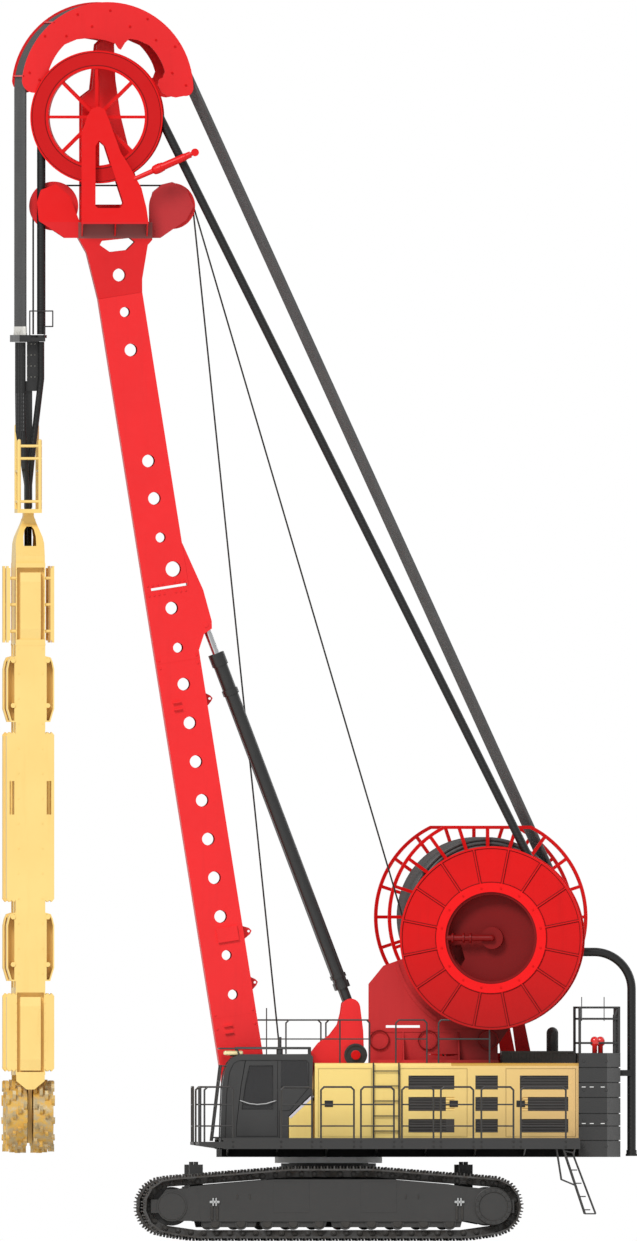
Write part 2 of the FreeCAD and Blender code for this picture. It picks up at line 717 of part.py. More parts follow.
def engine_hood():
    """Hood over the engine between the houses, with the cooler box and the exhaust."""
    half = HOUSE_INNER_Y - 10
    hood = block(2700, FRAME_REAR_X, -half, half, 2150, HOUSE_TOP_Z - 5)
    hood = hood.cut(block(2740, FRAME_REAR_X - 40, -half + 40, half - 40, 2000, HOUSE_TOP_Z - 20))
    cooler = block(3450, 4930, -560, 560, HOUSE_TOP_Z - 20, 3800)
    for i in range(9):
        x = 3530 + i * 155
        cooler = cooler.cut(block(x, x + 110, -600, -540, 3620, 3760))
        cooler = cooler.cut(block(x, x + 110, 540, 600, 3620, 3760))
    stack = V(4489, 250, 4160)
    return fused([hood, cooler, drum(stack - V(0, 0, 190), ALONG_Z, 118, 380),
                  Part.makeSphere(118, stack)])


def engine_block():
    return block(2900, 4700, -500, 500, 2150, 3350)


def roof_rails():
    """Handrails round the house roofs and the service basket behind them."""
    y = -1460
    top = 4420
    front = [V(-904, y, 3742), V(-904, y, top - 60), V(-844, y, top), V(710, y, top),
             V(770, y, top - 60), V(770, y, HOUSE_TOP_Z)]
    left = fused([rail(front, 16), rod(V(176, y, HOUSE_TOP_Z), V(176, y, top), 16),
                  rod(V(-904, y, 4040), V(770, y, 4040), 13)])
    pieces = [left, fused(handrail(1296, 1916, y, HOUSE_TOP_Z, top, [4040], 16))]
    for x0, x1 in ((-1900, -100), (0, 900)):
        pieces.append(fused(handrail(x0, x1, -y, HOUSE_TOP_Z, top, [4040], 16)))
    basket = []
    x0 = 4975
    x1 = COUNTERWEIGHT_REAR_X - 30
    for z in (4670, 4444, 3960):
        basket.append(rail([V(x0, -1450, z), V(x1, -1150, z), V(x1, 1150, z), V(x0, 1450, z)],
                           21))
    for x, y in ((x0, -1450), (x1, -1150), (x1, 0), (x1, 1150), (x0, 1450)):
        basket.append(rod(V(x, y, COUNTERWEIGHT_TOP_Z), V(x, y, 4690), 28))
    for x, y in ((x0 + 40, -1435), (5470, -1264)):
        basket.append(rod(V(x, y, 4400), V(x, y, 4880), 9))
    pipe = [V(5690, -1120, COUNTERWEIGHT_TOP_Z), V(5690, -1120, 4500), V(5745, -1120, 4640)]
    basket.append(rail(pipe, 42))
    basket.append(rod(pipe[1] - V(0, 0, 100), V(x1, -1120, 4400), 12))
    pieces.append(fused(basket))
    return group(pieces)


def wall_ladder():
    """Ladder to the roof between the front and middle doors."""
    y = -HOUSE_OUTER_Y - 50
    pieces = []
    for x in LADDER_X:
        pieces.append(rod(V(x, y, DECK_Z), V(x, y, 3570), 16))
        for z in (2400, 3330):
            pieces.append(rod(V(x, y, z), V(x, -HOUSE_OUTER_Y, z), 11))
    for i in range(5):
        z = 2200 + i * 300
        pieces.append(rod(V(LADDER_X[0], y, z), V(LADDER_X[1], y, z), 11))
    return fused(pieces)


def rear_ladder():
    """Folding ladder hung under the rear end of the left walkway."""
    sides = (-2390, -2030)
    top = V(4610, 0, 1870)
    foot = V(5050, 0, 545)
    reach = V(215, 0, 0)
    pieces = [block(4440, 4780, sides[0] - 8, sides[1] + 8, 1860, DECK_Z - 40)]
    for y in sides:
        side = V(0, y, 0)
        pieces.append(rod(top + side, foot + side, 20))
        pieces.append(rail([V(4640, y, 1800), V(4800, y, 1770), foot + side + reach], 14))
        pieces.append(rail([V(4480, y, 1870), V(4580, y, 1230), V(4845, y, 1120)], 14))
        pieces.append(rod(foot + side, foot + side + reach, 14))
    for i in range(5):
        step = foot + (top - foot) * (0.06 + 0.2 * i)
        pieces.append(block(step.x - 20, step.x + 130, sides[0], sides[1], step.z - 12,
                            step.z + 12))
    return fused(pieces)


def discharge_hose():
    """Hollow mud line from the reel's hub round a wide bend and down behind the machine."""
    bend = DISCHARGE_BEND_R
    run_end = V(DISCHARGE_X - bend, DISCHARGE_Y, DISCHARGE_TOP_Z)
    drop_top = V(DISCHARGE_X, DISCHARGE_Y, DISCHARGE_TOP_Z - bend)
    reach, rise = polar(bend, 45)
    middle = V(run_end.x + reach, DISCHARGE_Y, drop_top.z + rise)
    start = V(3500, DISCHARGE_Y, DISCHARGE_TOP_Z)
    end = V(DISCHARGE_X, DISCHARGE_Y, DISCHARGE_END_Z)

    def pipe(radius, extra):
        path = Part.Wire([Part.Arc(run_end, middle, drop_top).toShape()])
        profile = Part.Wire(Part.Circle(run_end, ALONG_X, radius).toShape())
        elbow = path.makePipeShell([profile], True, True)
        return fused([rod(start - V(extra, 0, 0), run_end, radius), elbow,
                      rod(drop_top, end - V(0, 0, extra), radius)])

    coupling = end + V(0, 0, COUPLING_LENGTH)
    sleeve = rod(end, coupling, COUPLING_BORE_R + 26)
    flange = drum(end + V(0, 0, 20), ALONG_Z, 118, 40)
    collar = drum(start + V(25, 0, 0), ALONG_X, 118, 50)
    clamp = block(COUNTERWEIGHT_REAR_X + 1, DISCHARGE_X, DISCHARGE_Y - 110, DISCHARGE_Y + 110,
                  3300, 3420)
    hose = fused([pipe(DISCHARGE_R, 0), sleeve, flange, collar, clamp])
    hose = hose.cut(pipe(DISCHARGE_BORE_R, 5))
    return hose.cut(rod(end - V(0, 0, 5), coupling, COUPLING_BORE_R))


export("slew_ring", slew_ring())
export("main_frame", main_frame())
export("luff_brackets", luff_brackets())
export("house_left", left_house())
export("house_right", right_house())
for name in DOORS:
    export("house_door_" + name, house_door(name))
export("cab_floor", cab_floor())
export("cab_side_walls", cab_side_walls())
export("cab_end_walls", cab_end_walls())
export("cab_guards", cab_guards())
export("cab_glass", cab_glass())
export("cab_door", cab_door())
export("operator_seat", operator_seat())
left_walkway = walkway()
export("walkway_left", left_walkway)
export("walkway_right", mirrored(left_walkway))
left_rails = walkway_rails()
export("walkway_rails_left", left_rails)
export("walkway_rails_right", mirrored(left_rails))
export("counterweight", counterweight())
export("engine_hood", engine_hood())
export("engine_block", engine_block())
export("roof_rails", roof_rails())
export("ladders", group([wall_ladder(), rear_ladder()]))
export("discharge_hose", discharge_hose())


# ---------------------------------------------------------------- winches
def winch_drum(centre):
    """Rope drum with two flanges."""
    pieces = [drum(centre, ALONG_Y, WINCH_BARREL_R, 760)]
    pieces += [drum(centre + V(0, y, 0), ALONG_Y, 330, 30) for y in (-385, 385)]
    return fused(pieces)


def winch_frames():
    """Side plates of both rope winches and the small hose winch on the bracket."""
    pieces = []
    for centre in WINCHES.values():
        x, z = centre.x, centre.z
        outline = [(x - 340, FRAME_TOP_Z), (x - 240, z + 120), (x, z + 260), (x + 240, z + 120),
                   (x + 340, FRAME_TOP_Z)]
        plate = side_plate(outline, -460, -430)
        boss = drum(centre - V(0, 432, 0), ALONG_Y, 90, 60)
        pieces += both_sides(fused([plate, boss]))
    pieces.append(fused([drum(SIDE_WINCH, ALONG_Y, 110, 70),
                         ring(SIDE_WINCH, ALONG_Y, 230, 190, 60),
                         drum(SIDE_WINCH + V(0, 20, 0), ALONG_Y, 200, 30)]))
    return group(pieces)


for name, centre in WINCHES.items():
    export("winch_drum_" + name, winch_drum(centre))
export("winch_frames", winch_frames())


# ---------------------------------------------------------------- reels
def mud_reel():
    """Reel with two ribbed flanges, a hub ring and a pipe elbow, about the origin."""
    half = MUD_REEL_HALF
    pieces = []
    for side in (-1, 1):
        pieces.append(ring(V(0, side * half, 0), ALONG_Y, MUD_REEL_R, 1100, 24))
        pieces.append(ring(V(0, side * (half - 60), 0), ALONG_Y, 1110, 870, 90))
        pieces.append(ring(V(0, side * (half + 14), 0), ALONG_Y, 1100, 920, 64))
        pieces.append(ring(V(0, side * (half + 12), 0), ALONG_Y, MUD_REEL_R, MUD_REEL_R - 40, 48))
        y0, y1 = sorted((side * half, side * (half + 36)))
        for i in range(MUD_REEL_RIBS):
            rib = block(1095, MUD_REEL_R - 30, y0, y1, -13, 13)
            rib.rotate(ORIGIN, ALONG_Y, (i + 0.5) * 360.0 / MUD_REEL_RIBS)
            pieces.append(rib)
    pieces.append(ring(ORIGIN, ALONG_Y, 1120, 1080, 2 * half))
    window = side_plate([(-850, -150), (-640, -130), (-560, -420), (-640, -560), (-760, -430)],
                        100, 160)
    pieces.append(ring(V(0, 130, 0), ALONG_Y, 1090, 150, 30).cut(window))
    pieces.append(ring(V(0, 60, 0), ALONG_Y, 220, REEL_AXLE_R, 170))
    pieces.append(drum(V(0, -57, 0), ALONG_Y, 220, 66))
    pieces.append(rail([V(-900, -170, 0), V(0, -170, 0), V(0, -80, 0)], 62))
    pieces += [drum(V(x, -170, 0), ALONG_X, 98, 36) for x in (-780, -560, -420)]
    return fused(pieces)


def mud_hose_pack():
    return ring(ORIGIN, ALONG_Y, MUD_PACK_R, 1120, 2 * MUD_REEL_HALF - 26)


def hydraulic_reel():
    """Cage reel: rims with one flat, joined to the drum by square bars, about the origin."""
    half = HYDRAULIC_REEL_WIDTH / 2
    radius = HYDRAULIC_REEL_R
    flat = HYDRAULIC_REEL_FLAT
    chord = math.sqrt(radius ** 2 - flat ** 2)
    pieces = []
    for y in (-half + 30, half - 30):
        pieces.append(ring(V(0, y, 0), ALONG_Y, radius, radius - 66, 60))
        pieces.append(ring(V(0, y, 0), ALONG_Y, 790, 150, 60))
        pieces.append(block(-chord, chord, y - 30, y + 30, flat - 66, flat))
        for i in range(HYDRAULIC_REEL_BARS):
            bar = block(760, radius - 40, y - 27, y + 27, -32, 32)
            bar.rotate(ORIGIN, ALONG_Y, i * 360.0 / HYDRAULIC_REEL_BARS)
            pieces.append(bar)
    pieces.append(ring(ORIGIN, ALONG_Y, 780, 720, 2 * half - 70))
    pieces.append(ring(ORIGIN, ALONG_Y, 230, REEL_AXLE_R, 2 * half - 70))
    return fused(pieces).cut(block(-radius, radius, -half - 10, half + 10, flat, radius + 10))


def hydraulic_hose_pack():
    return ring(ORIGIN, ALONG_Y, HYDRAULIC_PACK_R, 780, HYDRAULIC_REEL_WIDTH - 150)


def mud_reel_stand():
    """Stand plate with its curved hose guard, its roof foot, the hub neck and the mud pipe."""
    centre = MUD_REEL_CENTRE
    y0 = -790
    outline = [(772, HOUSE_TOP_Z), (772, 5140), (1070, 5506), (1430, 5636), (2600, 6300),
               (3100, 6500), (3500, 6400), (4100, 5600), (4100, 5000), (3560, 4210),
               (3360, 3920), (3360, HOUSE_TOP_Z)]
    plate = side_plate(outline, y0, -750)
    plate = plate.cut(block(1120, 1800, y0 - 10, -740, 4265, 4315))
    arch = [(1980, 3740), (2150, 3705), (2320, 3695), (2480, 3705), (2650, 3740)]
    plate = plate.cut(side_plate(arch, y0 - 10, -740))
    guard = arc_points(centre.x, centre.z, 2000, 195, 236, 10)
    guard += arc_points(centre.x, centre.z, 1930, 236, 195, 10)
    pieces = [plate, side_plate(guard, y0 - 40, -750),
              block(772, 3360, -1200, -700, HOUSE_TOP_Z, HOUSE_TOP_Z + 60),
              block(772, 3360, y0 - 20, y0, 4180, 4230),
              drum(V(centre.x, -860, centre.z), ALONG_Y, 240, 200)]
    for x in (990, 1960, 3170):
        pieces.append(ring(V(x, y0 - 10, 4020), ALONG_Y, 190, 158, 40))
    for x in (1450, 2560):
        pieces.append(front_plate([(-1150, HOUSE_TOP_Z + 50), (y0, 4200), (y0, HOUSE_TOP_Z + 50)],
                                  x, x + 25))
    axle = drum(V(0, 290, 0), ALONG_Y, REEL_AXLE_R - PIN_GAP, 620)
    pieces.append(turned(axle, MUD_REEL_YAW, centre))
    outlet = [V(centre.x, DISCHARGE_Y, centre.z), V(centre.x + 130, DISCHARGE_Y, 5840),
              V(centre.x + 190, DISCHARGE_Y, DISCHARGE_TOP_Z), V(3500, DISCHARGE_Y, DISCHARGE_TOP_Z)]
    pieces.append(rail(outlet, DISCHARGE_R))
    return fused(pieces)


def hydraulic_reel_stand():
    """Two legs on a base frame, the axle, and the gussets that carry its outer edge."""
    centre = HYDRAULIC_REEL_CENTRE
    foot = HOUSE_TOP_Z - centre.z
    leg = [(-900, foot), (-260, 150), (260, 150), (900, foot)]
    opening = [(-560, foot + 200), (-250, -420), (250, -420), (560, foot + 200)]
    pieces = []
    for y in (-860, 830):
        pieces.append(side_plate(leg, y, y + 30).cut(side_plate(opening, y - 5, y + 35)))
    pieces.append(drum(ORIGIN, ALONG_Y, REEL_AXLE_R - PIN_GAP, 1760))
    pieces.append(block(-900, 900, -860, 860, foot, foot + 60))
    far = turned(fused(pieces), HYDRAULIC_REEL_YAW, centre)
    gusset = [(HOUSE_OUTER_Y, 2700), (HOUSE_OUTER_Y, HOUSE_TOP_Z), (2250, HOUSE_TOP_Z),
              (2250, 3440)]
    return fused([far] + [front_plate(gusset, x, x + 40) for x in (2450, 3750)])


export("reel_stands", group([mud_reel_stand(), hydraulic_reel_stand()]))
export("mud_hose_reel", turned(mud_reel(), MUD_REEL_YAW, MUD_REEL_CENTRE))
export("mud_hose_pack", turned(mud_hose_pack(), MUD_REEL_YAW, MUD_REEL_CENTRE))
export("hydraulic_hose_reel", turned(hydraulic_reel(), HYDRAULIC_REEL_YAW, HYDRAULIC_REEL_CENTRE))
export("hydraulic_hose_pack", turned(hydraulic_hose_pack(), HYDRAULIC_REEL_YAW,
                                     HYDRAULIC_REEL_CENTRE))


# ---------------------------------------------------------------- mast
def on_mast(shape):
    """Tip a piece drawn upright about the foot pivot to the mast's lean."""
    placed = shape.copy()
    placed.rotate(ORIGIN, ALONG_Y, -MAST_LEAN)
    placed.translate(MAST_FOOT)
    return placed


def on_mast_inverse(point):
    """A point of the leaning mast in the upright frame about the foot pivot."""
    offset = point - MAST_FOOT
    lean = math.radians(MAST_LEAN)
    return V(offset.x * math.cos(lean) + offset.z * math.sin(lean), offset.y,
             -offset.x * math.sin(lean) + offset.z * math.cos(lean))


def mast_box(s0, s1, holes):
    """Hollow box section with round holes right through it, upright about the foot pivot."""
    half = MAST_DEPTH / 2
    w = MAST_HALF_WIDTH
    t = MAST_PLATE
    body = block(-half, half, -w, w, s0, s1)
    body = body.cut(block(-half + t, half - t, -w + t, w - t, s0 + t, s1 - t))
    for s, radius in holes:
        body = body.cut(drum(V(MAST_HOLE_X, 0, s), ALONG_Y, radius, 2 * w + 20))
    return body


def seam(s):
    """Shallow groove round the mast where two plates meet."""
    half = MAST_DEPTH / 2
    w = MAST_HALF_WIDTH
    course = block(-half - 5, half + 5, -w - 5, w + 5, s, s + 12)
    return course.cut(block(-half + 5, half - 5, -w + 5, w - 5, s - 1, s + 13))


def line_eye(x, s):
    """Small tab with a hole on the mast's rear face, for tying back lines."""
    tab = side_plate([(440, s + 130), (x + 20, s + 62), (x + 62, s), (x + 20, s - 62),
                      (440, s - 150)], -15, 15)
    return tab.cut(drum(V(x, 0, s), ALONG_Y, 25, 60))


def mast_lower():
    """Lower mast section with its foot cheeks and the lugs of the luffing cylinders."""
    body = mast_box(600, MAST_JOINT_S, MAST_HOLES)
    for s in (2200, 9377):
        body = body.cut(seam(s))
    cheek = [(-300, 640), (-140, -60), (-80, -130), (80, -130), (140, -60), (300, 640)]
    pieces = [body] + [side_plate(cheek, y, y + 70) for y in (-400, 330)]
    eye = on_mast_inverse(LUFF_EYE)
    rear = MAST_DEPTH / 2
    joint = MAST_JOINT_S - 2
    lug = [(rear - 15, eye.z - 500), (eye.x - 60, eye.z - 170), (eye.x + 110, eye.z - 90),
           (eye.x + 130, eye.z + 60), (eye.x + 60, eye.z + 700), (rear + 3, eye.z + 1700),
           (rear + 3, joint), (rear - 15, joint)]
    for side in (-1, 1):
        for offset in (-120, 90):
            y = side * LUFF_HALF_SPACING + offset
            pieces.append(side_plate(lug, y, y + 30))
        pieces.append(drum(V(eye.x, side * LUFF_HALF_SPACING, eye.z), ALONG_Y, 50, 270))
    pieces.append(block(-90, 330, -MAST_HALF_WIDTH - 60, -MAST_HALF_WIDTH, 3700, 3990))
    for s in (1880, 2020, 8430, 8570):
        pieces += both_sides(block(-240, -70, -MAST_HALF_WIDTH - 70, -MAST_HALF_WIDTH, s, s + 25))
    pieces += [line_eye(518, 8554), line_eye(560, 3837), line_eye(525, 2807)]
    bore = drum(ORIGIN, ALONG_Y, 90 + PIN_GAP, 900)
    return on_mast(fused(pieces).cut(bore))


def mast_upper():
    """Upper mast section: see-through slot over the joint, holes along the middle."""
    body = mast_box(MAST_JOINT_S + 1, MAST_TOP_S, MAST_UPPER_HOLES)
    slot = block(-312, 422, -MAST_HALF_WIDTH - 10, MAST_HALF_WIDTH + 10, MAST_JOINT_S + 28,
                 MAST_JOINT_S + 82)
    large = drum(V(192, 0, MAST_JOINT_S + 398), ALONG_Y, 154, 2 * MAST_HALF_WIDTH + 20)
    return on_mast(body.cut(slot).cut(large))


def mast_head():
    """Head box, sheave brackets and the A-frame that carries the mud hose wheel."""
    outline = [(-5018, HEAD_DECK_Z), (-5018, 20060), (-4850, 19760), (-4620, 18836),
               (-3741, 18975), (-3742, 19240), (-3630, 19920), (-3540, 20020), (-3540, HEAD_DECK_Z)]
    body = hollow_plate(outline, -400, 400, MAST_PLATE)
    cut_out = [(-4590, 19920), (-4550, 20000), (-3990, 20060), (-3890, 19980), (-4050, 19820),
               (-4390, 19780)]
    body = body.cut(side_plate(cut_out, -500, 500))
    body = body.cut(drum(V(-4200, 0, 19320), ALONG_Y, 128, 1000))
    front = [(-5470, 21140), (-5190, 20900), (-5070, 20580), (-4980, 20360), (-4980, 20060),
             (-5290, 20060), (-5810, 20400), (-5850, 20780), (-5770, 21020)]
    rear = [(-3590, 20720), (-3520, 20980), (-3340, 21130), (-3130, 21180), (-2850, 21060),
            (-2700, 20700), (-2850, 20420), (-3370, 20060), (-3590, 20060)]
    near_y = -780
    pieces = [body, side_plate(front, -370, -335), side_plate(front, 110, 150),
              side_plate(rear, -150, -110), side_plate(rear, 110, 150),
              rod(FRONT_SHEAVE_CENTRE + V(0, -370, 0), FRONT_SHEAVE_CENTRE + V(0, 150, 0), 60),
              drum(REAR_SHEAVE_CENTRE, ALONG_Y, 60, 300)]
    frame = [(-4970, HEAD_DECK_Z), (-4970, 22150), (-4860, 22480), (-4770, 22640), (-4640, 22690),
             (-4510, 22640), (-4430, 22450), (-4190, 21780), (-3990, 21460), (-3770, 21060),
             (-3670, 20660), (-3630, HEAD_DECK_Z)]
    window = [(-4690, 20700), (-4690, 21900), (-4620, 22010), (-4500, 21900), (-4130, 20760),
              (-4190, 20660), (-4640, 20660)]
    for y in (near_y, 45):
        leaf = side_plate(frame, y, y + 40)
        pieces.append(leaf.cut(side_plate(window, y - 10, y + 50)))
    pieces.append(block(-4970, -3630, near_y, -390, HEAD_DECK_Z - 40, HEAD_DECK_Z + 10))
    for x in (-4960, -4300, -3660):
        pieces.append(front_plate([(near_y + 20, HEAD_DECK_Z - 30), (-390, HEAD_DECK_Z - 30),
                                   (-390, HEAD_DECK_Z - 300)], x, x + 25))
    axle = rod(V(0, -415, 0), V(0, 430, 0), 60)
    pieces.append(turned(axle, MUD_REEL_YAW, MUD_WHEEL_CENTRE))
    arm_foot = V(-3920, near_y + 20, 21235)
    arm_tip = V(-2700, near_y - 20, 21772)
    arm = arm_tip - arm_foot
    pieces += [rod(arm_foot, arm_tip, 42), rod(arm_foot + arm * 0.45, arm_foot + arm * 0.93, 66),
               rod(arm_foot + arm * 0.42, arm_foot + arm * 0.48, 90),
               drum(arm_tip, ALONG_Y, 78, 90)]
    return fused(pieces)


def mud_wheel():
    """Spoked wheel that turns the mud hose over the mast head, about the origin."""
    half = 170.0
    pieces = [ring(ORIGIN, ALONG_Y, 1040, 970, 2 * half),
              ring(ORIGIN, ALONG_Y, 120, 60 + PIN_GAP, 2 * half)]
    for side in (-1, 1):
        pieces.append(ring(V(0, side * half, 0), ALONG_Y, MUD_WHEEL_R, 970, 20))
    for i in range(8):
        spoke = block(90, 990, -half + 10, -half + 60, -30, 30)
        brace = block(90, 990, half - 60, half - 10, -30, 30)
        for bar in (spoke, brace):
            bar.rotate(ORIGIN, ALONG_Y, i * 45.0)
            pieces.append(bar)
    return fused(pieces)


def hose_guide():
    """Two arched plates with rollers between them for the hydraulic hoses, about the origin."""
    half = GUIDE_HALF_WIDTH
    outline = arc_points(0, 0, GUIDE_R, -2, 172, 30)
    outline += [polar(1700, 176), polar(1600, 179), polar(1440, 179), polar(1320, 175)]
    outline += arc_points(0, 0, 1270, 168, 126, 7)
    outline += [polar(1160, 119), polar(1000, 107), polar(870, 80), polar(820, 72),
                polar(1090, 69)]
    outline += arc_points(0, 0, 1200, 62, 16, 7)
    outline += [polar(1020, 9), polar(1100, -3), polar(1280, -6), polar(1450, -8),
                polar(1620, -7)]
    pieces = []
    for y in (-half, half - 14):
        pieces.append(side_plate(outline, y, y + 14))
    roller_r = 60.0
    for i in range(12):
        x, z = polar(GUIDE_HOSE_R - HOSE_R - roller_r - 2, 174 - i * 15.6)
        pieces.append(drum(V(x, 0, z), ALONG_Y, roller_r, 2 * half - 8))
    for x, z in (polar(1010, 88), polar(1500, 130), polar(1500, 40)):
        pieces.append(drum(V(x, 0, z), ALONG_Y, 45, 2 * half - 8))
    foot = HEAD_DECK_Z - GUIDE_CENTRE.z
    post = [(-450, foot), (-450, -150), (-250, 0), (-150, 900), (40, 1080), (200, 950),
            (230, 200), (330, -500), (870, foot)]
    window = [(-250, -2300), (-250, -700), (120, -700), (480, -2300)]
    for y in (-190, 100):
        leaf = side_plate(post, y, y + 40)
        pieces.append(leaf.cut(side_plate(window, y - 10, y + 50)))
    return fused(pieces)


def sheave(radius, width):
    """Grooved rope wheel about the origin."""
    body = drum(ORIGIN, ALONG_Y, radius, width)
    groove = ring(ORIGIN, ALONG_Y, radius + 10, SHEAVE_ROPE_R - ROPE_R - 1, width - 40)
    return body.cut(groove).cut(drum(ORIGIN, ALONG_Y, 60 + PIN_GAP, width + 20))


export("mast_lower", mast_lower())
export("mast_upper", mast_upper())
export("mast_head", mast_head())
export("mud_hose_wheel", turned(mud_wheel(), MUD_REEL_YAW, MUD_WHEEL_CENTRE))
export("hose_guide_arc", turned(hose_guide(), HYDRAULIC_REEL_YAW, GUIDE_CENTRE))
export("front_rope_sheave", turned(sheave(FRONT_SHEAVE_R, 120), 0, FRONT_SHEAVE_CENTRE))
export("rear_rope_sheave", turned(sheave(REAR_SHEAVE_R, 120), 0, REAR_SHEAVE_CENTRE))


# ---------------------------------------------------------------- luffing cylinders
def along_cylinder(distance, side):
    """A point on a luffing cylinder's axis, measured from its foot pin."""
    reach = LUFF_EYE - LUFF_BASE
    return LUFF_BASE + reach * (distance / reach.Length) + V(0, side * LUFF_HALF_SPACING, 0)


def luff_barrels():
    pieces = []
    for side in (-1, 1):
        def tube(first, last, radius):
            return rod(along_cylinder(first, side), along_cylinder(last, side), radius)

        body = [tube(420, LUFF_BARREL_LENGTH, LUFF_BARREL_R), tube(100, 440, 95)]
        for first, last in ((420, 560), (640, 720), (6700, 6820),
                            (LUFF_BARREL_LENGTH - 260, LUFF_BARREL_LENGTH)):
            body.append(tube(first, last, LUFF_BARREL_R + 24))
        body.append(drum(along_cylinder(0, side), ALONG_Y, 150, 230))
        barrel = fused(body).cut(drum(along_cylinder(0, side), ALONG_Y, 60 + PIN_GAP, 300))
        pieces.append(barrel.cut(tube(1200, 9000, LUFF_ROD_R + PIN_GAP)))
    return group(pieces)


def luff_rods():
    pieces = []
    length = (LUFF_EYE - LUFF_BASE).Length
    for side in (-1, 1):
        shaft = rod(along_cylinder(6400, side), along_cylinder(length - 90, side), LUFF_ROD_R)
        eye = drum(along_cylinder(length, side), ALONG_Y, 120, 170)
        body = fused([shaft, eye])
        pieces.append(body.cut(drum(along_cylinder(length, side), ALONG_Y, 63, 300)))
    return group(pieces)


export("luff_barrels", luff_barrels())
export("luff_rods", luff_rods())


# ---------------------------------------------------------------- hoses and ropes
def in_plane(centre, yaw, along, z, lateral=0.0):
    """A point in a reel's upright plane: along and lateral are measured from the centre."""
    a = math.radians(yaw)
    return V(centre.x + along * math.cos(a) - lateral * math.sin(a),
             centre.y + along * math.sin(a) + lateral * math.cos(a), z)


def outer_tangent(a, b):
    """Ends of the upper tangent between two circles (along, z, radius), a ahead of b."""
    heading = math.atan2(b[1] - a[1], b[0] - a[0])
    reach = math.hypot(b[0] - a[0], b[1] - a[1])
    normal = heading + math.acos((a[2] - b[2]) / reach)
    return [(c[0] + c[2] * math.cos(normal), c[1] + c[2] * math.sin(normal)) for c in (a, b)]


def shortened(start, end, radius):
    """A straight line of hose or rope that stops a little short of both ends."""
    gap = (end - start).normalize() * END_GAP
    return rod(start + gap, end - gap, radius)


def span_between(top, top_r, reel, reel_r, yaw, lateral, radius):
    """A straight hose from a head wheel to its reel, in the plane they share."""
    reach = (reel.x - top.x) / math.cos(math.radians(yaw))
    start, end = outer_tangent((0.0, top.z, top_r), (reach, reel.z, reel_r))
    return shortened(in_plane(top, yaw, start[0], start[1], lateral),
                     in_plane(top, yaw, end[0], end[1], lateral), radius)


def hose_laterals():
    first = -HOSE_PITCH * (HOSE_COUNT - 1) / 2
    return [first + i * HOSE_PITCH for i in range(HOSE_COUNT)]


def hose_runs():
    """The straight spans of hose between the mast head and the reels."""
    pieces = [span_between(MUD_WHEEL_CENTRE, MUD_WHEEL_HOSE_R, MUD_REEL_CENTRE,
                           MUD_PACK_R + MUD_HOSE_R + 3, MUD_REEL_YAW, 0.0, MUD_HOSE_R)]
    for lateral in hose_laterals():
        pieces.append(span_between(GUIDE_CENTRE, GUIDE_HOSE_R, HYDRAULIC_REEL_CENTRE,
                                   HYDRAULIC_PACK_R + HOSE_R + 3, HYDRAULIC_REEL_YAW, lateral,
                                   HOSE_R))
    return group(pieces)


def fall(point, z0, z1, radius):
    return Part.makeCylinder(radius, z1 - z0, V(point.x, point.y, z0), ALONG_Z)


def mud_fall():
    """Where the mud hose hangs from its wheel."""
    return in_plane(MUD_WHEEL_CENTRE, MUD_REEL_YAW, -MUD_WHEEL_HOSE_R, 0)


def hydraulic_fall(lateral):
    """Where a hydraulic hose hangs from the guide."""
    return in_plane(GUIDE_CENTRE, HYDRAULIC_REEL_YAW, -GUIDE_HOSE_R, 0, lateral)


def hose_drops():
    """The hoses that hang from the mast head to the cutter."""
    low = HOSE_END_Z + END_GAP
    pieces = [fall(mud_fall(), low, MUD_WHEEL_CENTRE.z - END_GAP, MUD_HOSE_R)]
    for lateral in hose_laterals():
        pieces.append(fall(hydraulic_fall(lateral), low, GUIDE_CENTRE.z - END_GAP, HOSE_R))
    return group(pieces)


def rope_drops():
    x = FRONT_SHEAVE_CENTRE.x - SHEAVE_ROPE_R
    return group([fall(V(x, y, 0), HOSE_END_Z + END_GAP, FRONT_SHEAVE_CENTRE.z - END_GAP, ROPE_R)
                  for y in (-20, 20)])


def rope_runs():
    """Rope spans from the rear sheave down to the two winches."""
    lay_r = WINCH_BARREL_R + ROPE_R + 1
    pieces = []
    for name, y, reel_r in (("front", -20, -lay_r), ("rear", 20, lay_r)):
        winch = WINCHES[name]
        start, end = outer_tangent((REAR_SHEAVE_CENTRE.x, REAR_SHEAVE_CENTRE.z, SHEAVE_ROPE_R),
                                   (winch.x, winch.z, reel_r))
        pieces.append(shortened(V(start[0], y, start[1]), V(end[0], y, end[1]), ROPE_R))
    top = V(0, 0, REAR_SHEAVE_CENTRE.z + SHEAVE_ROPE_R)
    for y in (-20, 20):
        pieces.append(shortened(top + V(FRONT_SHEAVE_CENTRE.x, y, 0),
                                top + V(REAR_SHEAVE_CENTRE.x, y, 0), ROPE_R))
    return group(pieces)


export("hose_drops", hose_drops())
export("rope_drops", rope_drops())
export("hose_runs", hose_runs())
export("rope_runs", rope_runs())


# ---------------------------------------------------------------- cutter
LOAD_BAR_FOOT_Z = 14440.0
HOSE_NECK_YS = [-345, -112, 115, 202, 289]


